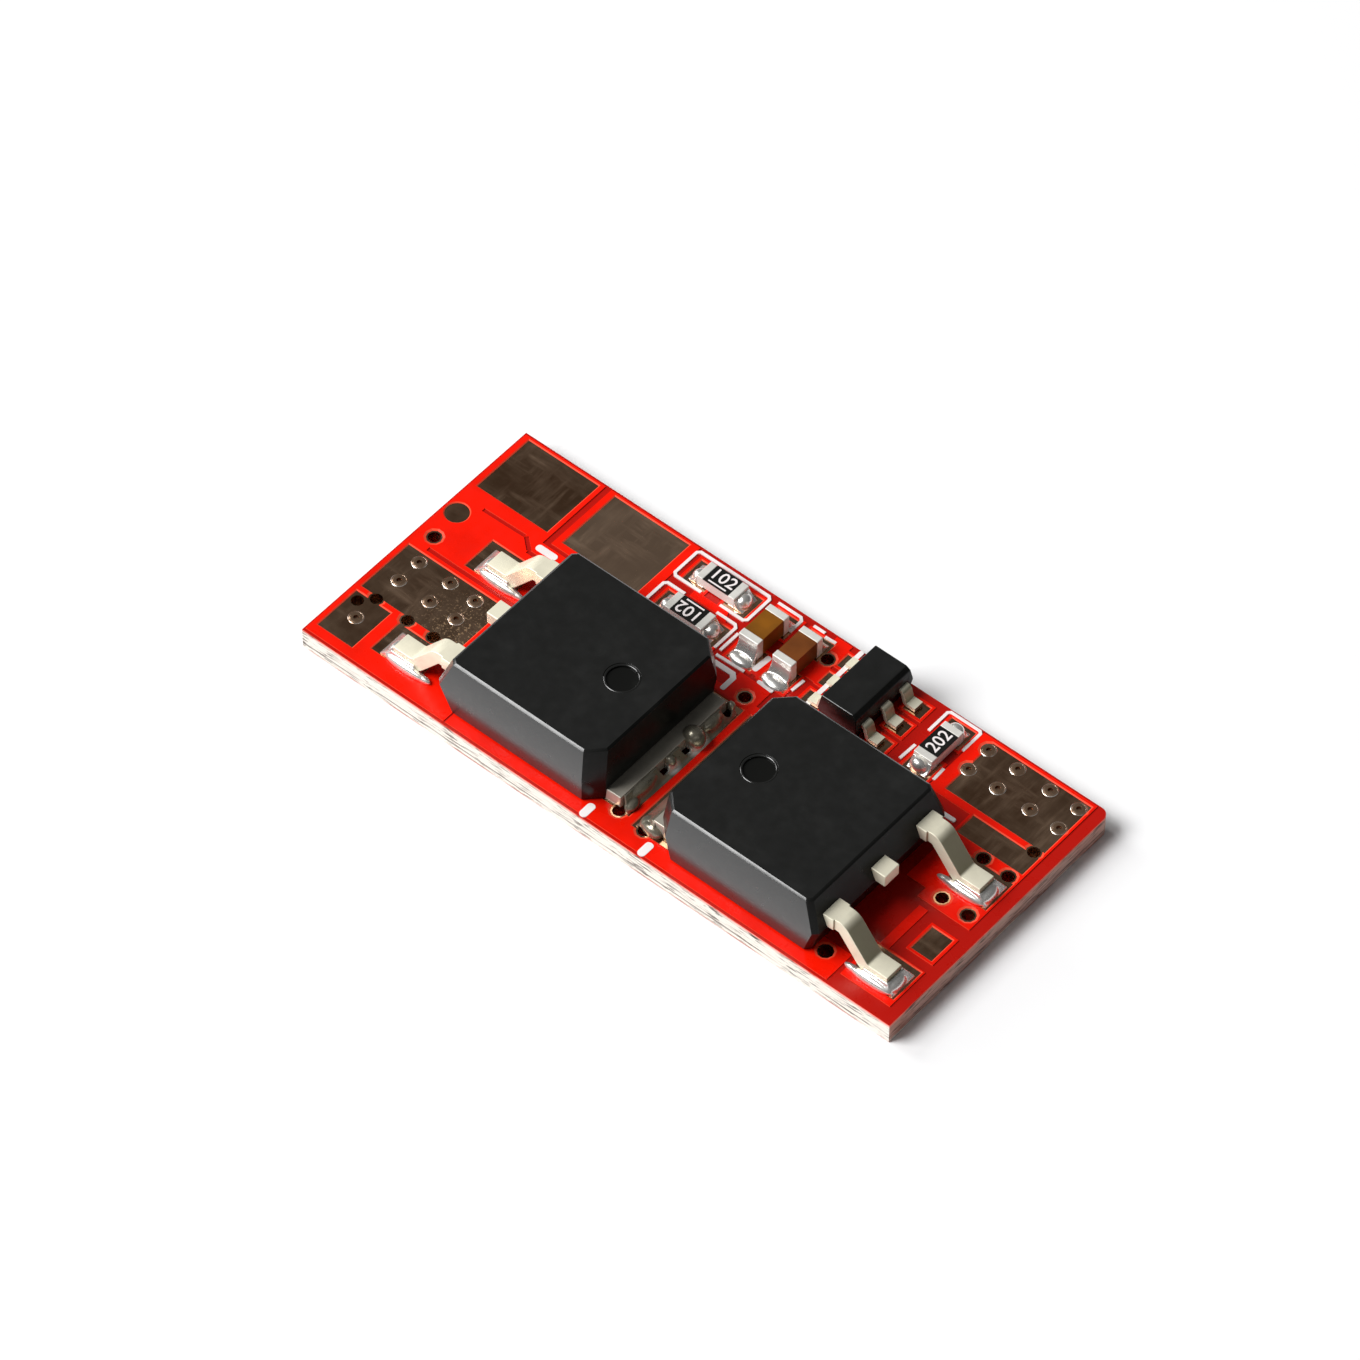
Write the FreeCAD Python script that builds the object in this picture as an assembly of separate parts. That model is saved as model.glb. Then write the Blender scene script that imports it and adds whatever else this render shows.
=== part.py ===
import FreeCAD, Part
import math
import os

# Small one-cell battery protection board, in millimetres: a red two-sided circuit board
# that carries two power transistors head to head, a six-lead controller, three chip
# resistors and two chip capacitors, all soldered to tinned copper.
# X runs along the board, Y across it and Z up. The origin is the middle of the underside.
# The layout is measured from the near left corner of the board, and only the last step
# moves it to the origin. What belongs to the right or far edge is measured from there.

V = FreeCAD.Vector
UP = V(0, 0, 1)

# Power transistor: moulded body, heat tab at one end, leads at the other.
FET_LEAD_END = 3.50        # middle to the wall at the lead end, at the parting line
FET_TAB_END = 3.20         # middle to the wall at the tab end
FET_WIDTH = 6.52           # along Y at the parting line
FET_HEIGHT = 2.38
FET_PARTING = 1.20         # parting line above the body's underside, at the leads
FET_DRAFT_LEAD = 0.45      # how far each wall leans in from the parting line up
FET_DRAFT_TAB = 0.10
FET_DRAFT_SIDE = 0.22
FET_UNDERCUT_LEAD = 0.40   # how far the walls lean in below the parting line
FET_UNDERCUT = 0.12
FET_TAB_CHAMFER = 0.55     # upright corners at the tab end
FET_LEAD_CHAMFER = 0.18    # upright corners at the lead end
FET_TOP_BEVEL = 0.07
DIMPLE_DIAMETER = 1.24
DIMPLE_DEPTH = 0.10
DIMPLE_LEAN = 0.06
DIMPLE_OFFSET = 1.55       # from the body's middle towards the tab
TAB_INSET = 0.66           # each side of the body to the tab's edge
TAB_REACH = 0.50           # the tab stands out of the body by this much
METAL = 0.50               # thickness of the leads and the tab
LEAD_INSET = 0.975         # each side of the body to a lead's middle
LEAD_WIDTH = 0.72
LEAD_SHOULDER_WIDTH = 0.84
LEAD_REACH = 2.38          # body to toe
LEAD_SHOULDER = 0.24       # length of the wide shoulder outside the body
LEAD_FOOT = 0.72
LEAD_RISE = 1.20           # foot to shoulder
LEAD_SLOPE = 52.0
LEAD_BEND_LOW = 0.15       # inner radius of the lower bend
LEAD_BEND_HIGH = 0.05      # inner radius of the upper bend
LEAD_BURIED = 1.20         # length held in the moulding
TAB_INSIDE = 1.70          # lead-end wall to the bend where the tab becomes the middle lead
STUB_WIDTH = 0.70
STUB_REACH = 0.38
SOLDER_FILM = 0.10         # solder between the pads and what sits on them
TAB_WIDTH = FET_WIDTH - 2 * TAB_INSET
LEAD_PITCH = FET_WIDTH - 2 * LEAD_INSET
LEAD_OUT = FET_LEAD_END + LEAD_REACH
TAB_OUT = FET_TAB_END + TAB_REACH

# Board outline. Along X it follows from the two transistors, tab to tab, and what lies
# round them; along Y from a transistor and the strip of small parts beyond it.
LEFT_MARGIN = 3.06         # left edge to the left leads' toes
TAB_GAP = 1.36             # between the ends of the two tabs
RIGHT_MARGIN = 0.92        # right leads' toes to the right edge
NEAR_MARGIN = 0.38         # near edge to the moulded bodies
FAR_STRIP = 4.10           # moulded bodies to the far edge
FAR_CORNER_RADIUS = 0.3
LEFT_END = LEFT_MARGIN + LEAD_OUT
FET_PITCH = 2 * TAB_OUT + TAB_GAP
RIGHT_END = LEAD_OUT + RIGHT_MARGIN
BOARD_LENGTH = LEFT_END + FET_PITCH + RIGHT_END
BOARD_WIDTH = NEAR_MARGIN + FET_WIDTH + FAR_STRIP
FET_Y = NEAR_MARGIN + FET_WIDTH / 2

# Layers, from the underside up: mask, copper, laminate, copper, mask.
MASK = 0.03
COPPER = 0.035
LAMINATE = 0.77
Z_COPPER_LOW = MASK
Z_LAMINATE = Z_COPPER_LOW + COPPER
Z_COPPER_TOP = Z_LAMINATE + LAMINATE
Z_PAD = Z_COPPER_TOP + COPPER
Z_TOP = Z_PAD + MASK
DRAPE = 0.04               # width of the mask's step down beside a copper edge
WINDOW_TAPER = 0.04        # the mask thins out towards a window by this much

# Copper keeps this far from the board's edges.
EDGE_LEFT = 0.10
EDGE_NEAR = 0.14
EDGE_FAR = 0.12
EDGE_RIGHT = 0.48
LOW_EDGE = 0.20

# Plated holes.
HOLE_DIAMETER = 0.45
PLATING = 0.025
HOLE_MASK_GAP = 0.03       # the mask keeps this far back from the plating
HOLE_MASK_TAPER = 0.08
HOLE_SIDES = 10            # the many small holes are drawn with flats to keep faces few
R_HOLE = HOLE_DIAMETER / 2
R_BARREL = R_HOLE + PLATING

# Mask windows under the transistors, past the end of the metal and behind it.
LEAD_PAD_NEAR = 0.50       # a lead's pad reaches this far from its middle, towards -Y
LEAD_PAD_FAR = 0.86        # and this far towards +Y
LEFT_PAD_BEYOND = 0.82
LEFT_PAD_BEHIND = 1.15
RIGHT_PAD_BEYOND = 0.38
RIGHT_PAD_BEHIND = 1.36
TAB_PAD_INSIDE = 1.90      # the tab's pad starts this far inside from the body's middle
TAB_PAD_FAR = 0.40         # a tab's pad is wider than the tab by this much towards +Y
LEFT_TAB_PAD_BEYOND = 0.37
LEFT_TAB_PAD_NEAR = 0.02
RIGHT_TAB_PAD_BEYOND = 0.68
RIGHT_TAB_PAD_NEAR = 0.24

# Solder on the transistors: how far it runs out over the pads and how high it climbs.
FOOT_GAP_LEFT = 0.52
FOOT_GAP_RIGHT = 0.34
FOOT_GAP_SIDE = 0.30
FOOT_GAP_HEEL = 0.40
FOOT_HUG = 0.05            # solder left on the metal where the joint ends
FOOT_CLIMB = 0.62          # share of the metal's thickness
LEFT_TAB_FILLET = 0.35
RIGHT_TAB_FILLET = 0.60
TAB_CLIMB = 0.56
TAB_SOLDER_INSIDE = 1.70   # the film under a tab starts this far inside from the middle
DOME_RADIUS = 0.32         # frozen bead beside a plated hole
DOME_BESIDE = 0.62         # the bead lies this far along Y from its hole

# Controller in a six-lead package.
IC_FROM_RIGHT = 8.70
IC_FROM_FAR = 1.63
IC_LENGTH = 2.90           # along Y
IC_WIDTH = 1.60            # along X
IC_HEIGHT = 1.10
IC_DRAFT = 0.09
IC_PARTING = 0.52          # parting line above the body's underside
IC_BEVEL = 0.14            # long sloping edge on the pin one side
IC_STANDOFF = 0.05
IC_LEAD_PITCH = 0.95
IC_LEAD_WIDTH = 0.40
IC_LEAD_METAL = 0.15
IC_LEAD_REACH = 0.64
IC_LEAD_FOOT = 0.32
IC_LEAD_BEND = 0.05
IC_LEAD_SLOPE = 75.0
IC_LEAD_BURIED = 0.25
IC_FILM = 0.05
IC_SOLDER_OUT = 0.26       # solder past a toe
IC_SOLDER_SIDE = 0.06      # and beside it
IC_CLIMB = 0.75            # share of the metal's thickness
IC_PAD = (0.70, 0.56)      # mask window under one foot, along X and Y
IC_PAD_BACK = 0.08         # its middle lies this far back from the toe

# Chip parts, all of one footprint.
CHIP_LENGTH = 1.60
CHIP_WIDTH = 0.80
CHIP_FILM = 0.03
RESISTOR_CORE = 0.42
RESISTOR_COAT = 0.03
RESISTOR_COAT_GAP = 0.005  # between the overcoat and each terminal
RESISTOR_BAND = 0.27       # terminal length along the chip
CAPACITOR_HEIGHT = 0.77
CAPACITOR_BAND = 0.29
BAND_METAL = 0.02
RESISTOR_SOLDER = 0.42     # how far the solder runs out from a chip's end
CAPACITOR_SOLDER_NEAR = 0.44
CAPACITOR_SOLDER_FAR = 0.38
CHIP_SOLDER_UNDER = 0.30   # and how far it runs in under the chip
CHIP_CLIMB = 0.78          # share of the chip's height
CHIP_HOLLOW = 0.35         # lower is a hollower fillet
CHIP_PAD_LENGTH = 0.90
CHIP_PAD_WIDTH = 0.98
CHIP_PAD_PITCH = CHIP_LENGTH + 0.10  # middle to middle of a chip's two pads
PAD_MARGIN = 0.08          # copper reaches this far past a window's edge

# Chip places: from the left edge, from the far edge, and the turn in degrees.
CHIP_PLACES = {
    "resistor_1": (LEFT_END + 0.31, 0.93, 0),
    "resistor_2": (LEFT_END + 0.31, 2.57, 0),
    "capacitor_1": (LEFT_END + 2.68, 1.68, 90),
    "capacitor_2": (LEFT_END + 4.08, 1.68, 90),
}
RESISTOR_3_FROM_RIGHT = 5.73
RESISTOR_3_FROM_FAR = 1.56
CHIP_PLACES["resistor_3"] = (BOARD_LENGTH - RESISTOR_3_FROM_RIGHT, RESISTOR_3_FROM_FAR, 90)

# Anchors that the layout is written from.
RIGHT = BOARD_LENGTH
FAR = BOARD_WIDTH
FET_LEFT_X = LEFT_END
FET_RIGHT_X = LEFT_END + FET_PITCH
Z_SEAT = Z_PAD + SOLDER_FILM
LEFT_TAB_X = FET_LEFT_X + TAB_OUT
SEAM_X = LEFT_TAB_X + 0.04     # the row of plated holes beside the left tab
LINK_X = LEFT_END + 4.76       # the via that joins the controller to the underside
IC_X = RIGHT - IC_FROM_RIGHT
IC_Y = FAR - IC_FROM_FAR


def rect(x0, y0, x1, y1):
    """Corner points of a rectangle, anticlockwise."""
    return [(x0, y0), (x1, y0), (x1, y1), (x0, y1)]


def rect_at(x, y, dx, dy):
    """Rectangle by its middle and its sizes."""
    return rect(x - dx / 2, y - dy / 2, x + dx / 2, y + dy / 2)


def grow(points, d):
    """Move every side of a convex anticlockwise polygon outwards by d."""
    moved = []
    count = len(points)
    for i in range(count):
        ax, ay = points[i - 1]
        bx, by = points[i]
        cx, cy = points[(i + 1) % count]
        in_x, in_y = unit(bx - ax, by - ay)
        out_x, out_y = unit(cx - bx, cy - by)
        turn = 1 + in_x * out_x + in_y * out_y
        moved.append((bx + d * (in_y + out_y) / turn, by - d * (in_x + out_x) / turn))
    return moved


def unit(x, y):
    """Direction of a step as a vector of length one."""
    size = math.hypot(x, y)
    return x / size, y / size


def wire(points, z):
    """Closed level wire through the points."""
    corners = [V(x, y, z) for x, y in points]
    return Part.makePolygon(corners + corners[:1])


def prism(points, z0, z1):
    """Upright prism over a polygon."""
    return Part.Face(wire(points, z0)).extrude(V(0, 0, z1 - z0))


def frustum(low, z0, high, z1):
    """Straight-sided solid between two polygons with the same number of corners."""
    return Part.makeLoft([wire(low, z0), wire(high, z1)], True, True)


def side_profile(edges, y_mid, width):
    """Extrude a closed profile of edges in the XZ plane across Y."""
    face = Part.Face(Part.Wire(Part.sortEdges(edges)[0]))
    solid = face.extrude(V(0, width, 0))
    solid.translate(V(0, y_mid - width / 2, 0))
    return solid


def ring(x, y, radius):
    """Corners of a small hole's outline."""
    turn = 2 * math.pi / HOLE_SIDES
    return [(x + radius * math.cos(i * turn), y + radius * math.sin(i * turn))
            for i in range(HOLE_SIDES)]


def bore(x, y, radius, z0, z1):
    """Upright solid that fills a small hole."""
    return prism(ring(x, y, radius), z0, z1)


def disc(x, y, low, z0, high, z1):
    """Round solid between two radii."""
    return Part.makeCone(low, high, z1 - z0, V(x, y, z0), UP)


def fuse(shapes):
    """One clean solid, or group of solids, from several."""
    whole = shapes[0]
    if len(shapes) > 1:
        whole = whole.multiFuse(shapes[1:])
    return whole.removeSplitter()


def cut(shape, tools):
    """Take all the tools out of a shape at once."""
    return shape.cut(tools)


# Copper and mask layout

def lead_pad(fet_x, end, side, beyond, behind):
    """Window for a lead's foot: end is the way it points in X, side its side in Y."""
    toe = fet_x + end * LEAD_OUT
    y = FET_Y + side * LEAD_PITCH / 2
    reach = sorted((toe + end * beyond, toe - end * behind))
    return rect(reach[0], y - LEAD_PAD_NEAR, reach[1], y + LEAD_PAD_FAR)


def tab_pad(fet_x, end, beyond, near):
    """Window for a heat tab, from under the body to a little beyond the tab."""
    reach = sorted((fet_x - end * TAB_PAD_INSIDE, fet_x + end * (TAB_OUT + beyond)))
    half = TAB_WIDTH / 2
    return rect(reach[0], FET_Y - half - near, reach[1], FET_Y + half + TAB_PAD_FAR)


WINDOWS = {
    "far_pad_left": rect(0.30, FAR - 2.78, 3.33, FAR - 0.20),
    "far_pad_right": rect(4.03, FAR - 2.80, 7.22, FAR - 0.20),
    "stitched_pad_left": rect(0.26, 2.60, 4.40, 4.90),
    "corner_pad": rect(0.26, 0.48, 1.74, 2.35),
    "left_gate": lead_pad(FET_LEFT_X, -1, 1, LEFT_PAD_BEYOND, LEFT_PAD_BEHIND),
    "left_source": lead_pad(FET_LEFT_X, -1, -1, LEFT_PAD_BEYOND, LEFT_PAD_BEHIND),
    "left_tab": tab_pad(FET_LEFT_X, 1, LEFT_TAB_PAD_BEYOND, LEFT_TAB_PAD_NEAR),
    "right_source": lead_pad(FET_RIGHT_X, 1, 1, RIGHT_PAD_BEYOND, RIGHT_PAD_BEHIND),
    "right_gate": lead_pad(FET_RIGHT_X, 1, -1, RIGHT_PAD_BEYOND, RIGHT_PAD_BEHIND),
    "right_tab": tab_pad(FET_RIGHT_X, -1, RIGHT_TAB_PAD_BEYOND, RIGHT_TAB_PAD_NEAR),
    "stitched_pad_right": rect(RIGHT - 4.57, FAR - 2.61, RIGHT - 0.56, FAR - 0.22),
    "strip_pad": rect(RIGHT - 3.20, FAR - 3.73, RIGHT - 0.56, FAR - 2.89),
    "square_pad": rect(RIGHT - 1.40, 2.78, RIGHT - 0.58, 3.83),
}
TEST_PAD = (0.56, 6.93, 0.42)

LOW_WINDOWS = {
    "low_pad_left": rect(0.26, 0.90, 4.40, 4.95),
    "low_pad_right": rect(RIGHT - 4.86, FAR - 3.12, RIGHT - 0.44, FAR - 0.26),
}

HOLES = {
    "left_end": [(1.02, 4.55), (2.37, 4.55), (3.48, 4.50),
                 (1.02, 3.56), (2.37, 3.54), (3.50, 3.54),
                 (0.98, 2.50), (2.35, 2.48), (3.45, 2.50),
                 (0.68, 5.67), (1.00, 1.49), (0.56, 2.05)],
    "drain": [(SEAM_X, FET_Y + 3.46), (SEAM_X, FET_Y + 2.46), (SEAM_X, FET_Y + 0.44),
              (SEAM_X, FET_Y - 0.64), (SEAM_X - 0.06, FET_Y - 2.66),
              (FET_RIGHT_X - 3.94, FET_Y - 2.75), (RIGHT - 3.35, FET_Y - 2.70)],
    "controller_link": [(LINK_X, FAR - 0.98)],
    "right_end": [(RIGHT - 4.51, FAR - 0.52), (RIGHT - 3.32, FAR - 0.52),
                  (RIGHT - 2.00, FAR - 0.52), (RIGHT - 0.84, FAR - 0.52),
                  (RIGHT - 4.51, FAR - 1.54), (RIGHT - 3.32, FAR - 1.54),
                  (RIGHT - 2.00, FAR - 1.54), (RIGHT - 0.84, FAR - 1.54),
                  (RIGHT - 0.84, FAR - 2.80), (RIGHT - 1.90, FET_Y + 3.33),
                  (RIGHT - 0.85, FET_Y + 3.28), (RIGHT - 1.90, FET_Y + 1.28),
                  (RIGHT - 0.85, FET_Y + 1.28)],
}


def chip_pads(name):
    """The two mask windows under a chip's ends."""
    x, from_far, turn = CHIP_PLACES[name]
    y = FAR - from_far
    half = CHIP_PAD_PITCH / 2
    if turn:
        return [rect_at(x, y + s * half, CHIP_PAD_WIDTH, CHIP_PAD_LENGTH) for s in (-1, 1)]
    return [rect_at(x + s * half, y, CHIP_PAD_LENGTH, CHIP_PAD_WIDTH) for s in (-1, 1)]


def ic_pads():
    """The six mask windows under the controller's feet."""
    reach = IC_WIDTH / 2 + IC_LEAD_REACH - IC_PAD_BACK
    return [rect_at(IC_X + side * reach, IC_Y + row * IC_LEAD_PITCH, *IC_PAD)
            for side in (-1, 1) for row in (-1, 0, 1)]


TOP_RIGHT = RIGHT - EDGE_RIGHT
TOP_FAR = FAR - EDGE_FAR
DRAIN_LEFT = FET_LEFT_X - LEAD_OUT + 3.04
TOP_NETS = {
    "left_end": [rect(EDGE_LEFT, EDGE_NEAR, DRAIN_LEFT - 0.15, FAR - 3.28),
                 rect(EDGE_LEFT, FAR - 3.40, 3.49, TOP_FAR)],
    "far_pad": [rect(3.81, FAR - 3.04, 7.55, TOP_FAR)],
    "drain": [rect(DRAIN_LEFT, EDGE_NEAR, RIGHT - 3.90, FET_Y + 3.35),
              rect(RIGHT - 4.00, EDGE_NEAR, RIGHT - 2.65, 1.30),
              rect(SEAM_X - 0.72, FET_Y + 3.30, SEAM_X + 0.50, FAR - 3.25)],
    "right_end": [rect(RIGHT - 5.02, FAR - 2.89, TOP_RIGHT, TOP_FAR),
                  rect(RIGHT - 3.28, FET_Y + 1.30, TOP_RIGHT, FAR - 2.80),
                  rect(RIGHT - 2.50, FET_Y + 0.87, TOP_RIGHT, FET_Y + 1.40)],
    "right_gate": [rect(RIGHT - 2.40, 0.60, TOP_RIGHT, 2.25),
                   rect(RIGHT - 2.21, 2.20, RIGHT - 1.94, 4.19)],
    "square_pad": [rect(RIGHT - 1.48, 2.70, TOP_RIGHT, 3.91)],
    "controller_link": [rect(LINK_X - 0.30, FAR - 1.95, LINK_X + 0.27, TOP_FAR),
                        grow(chip_pads("capacitor_2")[1], PAD_MARGIN)],
}
TOP_SLOTS = {
    "left_end": [rect(0.82, 5.03, DRAIN_LEFT, 5.28),
                 [(1.09, FAR - 3.54), (2.95, FAR - 3.50), (2.95, FAR - 3.27), (1.09, FAR - 3.31)],
                 [(2.85, FAR - 3.45), (3.35, FAR - 3.88), (3.55, FAR - 3.72), (3.00, FAR - 3.26)],
                 rect(3.35, FAR - 3.95, DRAIN_LEFT, FAR - 3.70)],
}
LOW_NETS = {
    "left_end": [rect(LOW_EDGE, LOW_EDGE, 6.30, FAR - LOW_EDGE)],
    "drain": [rect(6.60, LOW_EDGE, FET_RIGHT_X - 1.80, FAR - 1.70),
              rect(6.60, LOW_EDGE, RIGHT - 2.90, 1.60)],
    "controller_link": [rect_at(LINK_X, FAR - 0.98, 0.80, 0.80)],
    "right_end": [rect(FET_RIGHT_X - 1.50, 1.90, RIGHT - LOW_EDGE, FAR - LOW_EDGE)],
}


def signal_copper():
    """Small islands under the chips and the controller, with two short tracks."""
    islands = []
    for name in CHIP_PLACES:
        own = chip_pads(name)
        if name == "capacitor_2":
            own = own[:1]      # its far pad belongs to the controller link
        islands += [grow(pad, PAD_MARGIN) for pad in own]
    islands += [grow(pad, PAD_MARGIN) for pad in ic_pads()]
    resistor_x, from_far, turn = CHIP_PLACES["resistor_2"]
    track_y = FAR - 1.80
    islands.append(rect(resistor_x - 0.60, track_y, resistor_x + 0.75, track_y + 0.20))
    islands.append([(resistor_x + 0.55, track_y), (resistor_x + 0.85, FAR - 2.20),
                    (resistor_x + 1.05, FAR - 2.20), (resistor_x + 0.75, track_y + 0.20)])
    capacitor_x = CHIP_PLACES["capacitor_1"][0]
    islands.append(rect(capacitor_x + 0.61, FAR - 2.98, capacitor_x + 0.80, FAR - 2.05))
    return islands


def all_windows():
    """Every window in the top mask."""
    windows = list(WINDOWS.values()) + ic_pads()
    for name in CHIP_PLACES:
        windows += chip_pads(name)
    return windows


def all_holes():
    """Every plated hole."""
    return [place for places in HOLES.values() for place in places]


def copper_layer(polygons, slots, z0, extra=0.0, height=COPPER):
    """One layer's copper, or with extra the space that the draped mask takes over it."""
    plates = fuse([prism(grow(p, extra), z0, z0 + height) for p in polygons])
    if not slots:
        return plates
    return cut(plates, [prism(grow(s, -extra), z0, z0 + height) for s in slots])


def copper_net(name):
    """Top and bottom copper of one net, joined by its plated holes."""
    parts = [copper_layer(TOP_NETS[name], TOP_SLOTS.get(name), Z_COPPER_TOP)]
    if name in LOW_NETS:
        parts.append(copper_layer(LOW_NETS[name], None, Z_COPPER_LOW))
    holes = HOLES.get(name, [])
    parts += [bore(x, y, R_BARREL, Z_COPPER_LOW, Z_PAD) for x, y in holes]
    net = fuse(parts)
    if holes:
        net = cut(net, [bore(x, y, R_HOLE, 0, Z_TOP) for x, y in holes])
    return net


def board_slab(z0, z1):
    """The board's outline with its one worn corner."""
    slab = Part.makeBox(BOARD_LENGTH, BOARD_WIDTH, z1 - z0, V(0, 0, z0))
    corner = [e for e in slab.Edges
              if abs(e.CenterOfMass.x - RIGHT) < 1e-6 and abs(e.CenterOfMass.y - FAR) < 1e-6]
    return slab.makeFillet(FAR_CORNER_RADIUS, corner)


def laminate():
    """Glass laminate, drilled for every plated hole."""
    slab = board_slab(Z_LAMINATE, Z_COPPER_TOP)
    return cut(slab, [bore(x, y, R_BARREL, 0, Z_TOP) for x, y in all_holes()])


def hole_relief(x, y):
    """Space that the top mask leaves round a plated hole, wider at the face."""
    narrow = R_BARREL + HOLE_MASK_GAP
    return frustum(ring(x, y, narrow), Z_PAD, ring(x, y, narrow + HOLE_MASK_TAPER), Z_TOP)


def mask_top():
    """Top mask: over the copper, stepped down over bare laminate, open at the pads."""
    nets = list(TOP_NETS)
    mask = board_slab(Z_COPPER_TOP, Z_TOP)
    signals = signal_copper()
    copper = [copper_layer(TOP_NETS[n], TOP_SLOTS.get(n), Z_COPPER_TOP) for n in nets]
    copper.append(copper_layer(signals, None, Z_COPPER_TOP))
    raised = [copper_layer(TOP_NETS[n], TOP_SLOTS.get(n), Z_COPPER_TOP, DRAPE, COPPER + MASK)
              for n in nets]
    raised.append(copper_layer(signals, None, Z_COPPER_TOP, DRAPE, COPPER + MASK))
    sunk = cut(board_slab(Z_COPPER_TOP + MASK, Z_TOP), raised)
    windows = [frustum(w, Z_PAD, grow(w, WINDOW_TAPER), Z_TOP) for w in all_windows()]
    x, y, radius = TEST_PAD
    windows.append(disc(x, y, radius, Z_PAD, radius + WINDOW_TAPER, Z_TOP))
    reliefs = [hole_relief(x, y) for x, y in all_holes()]
    return cut(mask, copper + [sunk] + windows + reliefs)


def mask_bottom():
    """Underside mask: it closes the holes, apart from those in its two open pads."""
    mask = board_slab(0, Z_LAMINATE)
    copper = [copper_layer(LOW_NETS[n], None, Z_COPPER_LOW) for n in LOW_NETS]
    windows = [frustum(grow(w, WINDOW_TAPER), 0, w, MASK) for w in LOW_WINDOWS.values()]
    return cut(mask, copper + windows)


# Power transistors, drawn with the tab towards +X and the middle at the origin

def chamfered(x0, y0, x1, y1, lead_corner, tab_corner):
    """Body outline with cut corners, smaller at the lead end."""
    return [(x0 + lead_corner, y0), (x1 - tab_corner, y0), (x1, y0 + tab_corner),
            (x1, y1 - tab_corner), (x1 - tab_corner, y1), (x0 + lead_corner, y1),
            (x0, y1 - lead_corner), (x0, y0 + lead_corner)]


def fet_outline(lean_lead, lean_tab, lean_side):
    """Body outline with its walls moved in by the given amounts."""
    x0 = -FET_LEAD_END + lean_lead
    x1 = FET_TAB_END - lean_tab
    y1 = FET_WIDTH / 2 - lean_side
    return chamfered(x0, -y1, x1, y1, FET_LEAD_CHAMFER, FET_TAB_CHAMFER)


def fet_body_blank():
    """Moulded body with its draft, bevelled top edge and ejector dimple."""
    z0 = Z_SEAT
    parting = z0 + FET_PARTING
    top = z0 + FET_HEIGHT
    middle = fet_outline(0, 0, 0)
    under = fet_outline(FET_UNDERCUT_LEAD, FET_UNDERCUT, FET_UNDERCUT)
    lid = fet_outline(FET_DRAFT_LEAD, FET_DRAFT_TAB, FET_DRAFT_SIDE)
    upper = frustum(middle, parting, lid, top)
    rim = [e for e in upper.Edges if abs(e.BoundBox.ZMin - top) < 1e-6]
    upper = upper.makeChamfer(FET_TOP_BEVEL, rim)
    body = fuse([frustum(under, z0, middle, parting), upper])
    dimple = DIMPLE_DIAMETER / 2
    return cut(body, [disc(DIMPLE_OFFSET, 0, dimple - DIMPLE_LEAN, top - DIMPLE_DEPTH, dimple, top)])


def arc_edge(cx, cz, radius, from_deg, to_deg):
    """Arc in the XZ plane, by its middle and two directions in degrees."""
    def point(deg):
        return V(cx + radius * math.cos(math.radians(deg)), 0,
                 cz + radius * math.sin(math.radians(deg)))
    return Part.Arc(point(from_deg), point((from_deg + to_deg) / 2), point(to_deg)).toShape()


def gull_wing(foot, rise, slope, bend_low, bend_high, metal, length, z0):
    """Edges of a bent strip: foot from x = 0, up a slope, level again to x = length."""
    lean = math.radians(slope)
    low_in, low_out = bend_low, bend_low + metal
    high_in, high_out = bend_high, bend_high + metal
    turns = (low_in + high_in + metal) * (1 - math.cos(lean))
    straight = (rise - turns) / math.sin(lean)
    low_x, low_z = foot, z0 + metal + low_in
    high_x = foot + (low_in + high_in + metal) * math.sin(lean) + straight * math.cos(lean)
    high_z = z0 + rise - high_in
    arcs = [arc_edge(low_x, low_z, low_in, -90, -90 + slope),
            arc_edge(low_x, low_z, low_out, -90, -90 + slope),
            arc_edge(high_x, high_z, high_in, 90 + slope, 90),
            arc_edge(high_x, high_z, high_out, 90 + slope, 90)]
    ends = [[v.Point for v in arc.Vertexes] for arc in arcs]
    corners = [V(0, 0, z0), V(0, 0, z0 + metal), V(length, 0, z0 + rise),
               V(length, 0, z0 + rise + metal)]
    lines = [(corners[0], corners[1]), (corners[1], nearest(ends[0], corners[1])),
             (corners[0], nearest(ends[1], corners[0])),
             (corners[2], corners[3]), (corners[2], nearest(ends[2], corners[2])),
             (corners[3], nearest(ends[3], corners[3])),
             (furthest(ends[0], corners[1]), furthest(ends[3], corners[3])),
             (furthest(ends[1], corners[0]), furthest(ends[2], corners[2]))]
    return arcs + [Part.LineSegment(a, b).toShape() for a, b in lines]


def nearest(points, target):
    """The point closest to the target along X."""
    return min(points, key=lambda p: abs(p.x - target.x))


def furthest(points, target):
    """The point furthest from the target along X."""
    return max(points, key=lambda p: abs(p.x - target.x))


def fet_lead(side):
    """One gull-wing lead, wider at the shoulder, its foot cut square."""
    length = LEAD_REACH + LEAD_BURIED
    edges = gull_wing(LEAD_FOOT, LEAD_RISE, LEAD_SLOPE, LEAD_BEND_LOW, LEAD_BEND_HIGH,
                      METAL, length, Z_SEAT)
    strip = side_profile(edges, 0, LEAD_WIDTH)
    shoulder_start = LEAD_REACH - LEAD_SHOULDER
    shoulder = Part.makeBox(length - shoulder_start, LEAD_SHOULDER_WIDTH, METAL,
                            V(shoulder_start, -LEAD_SHOULDER_WIDTH / 2, Z_SEAT + LEAD_RISE))
    lead = fuse([strip, shoulder])
    lead.translate(V(-LEAD_OUT, side * LEAD_PITCH / 2, 0))
    return lead


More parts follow.
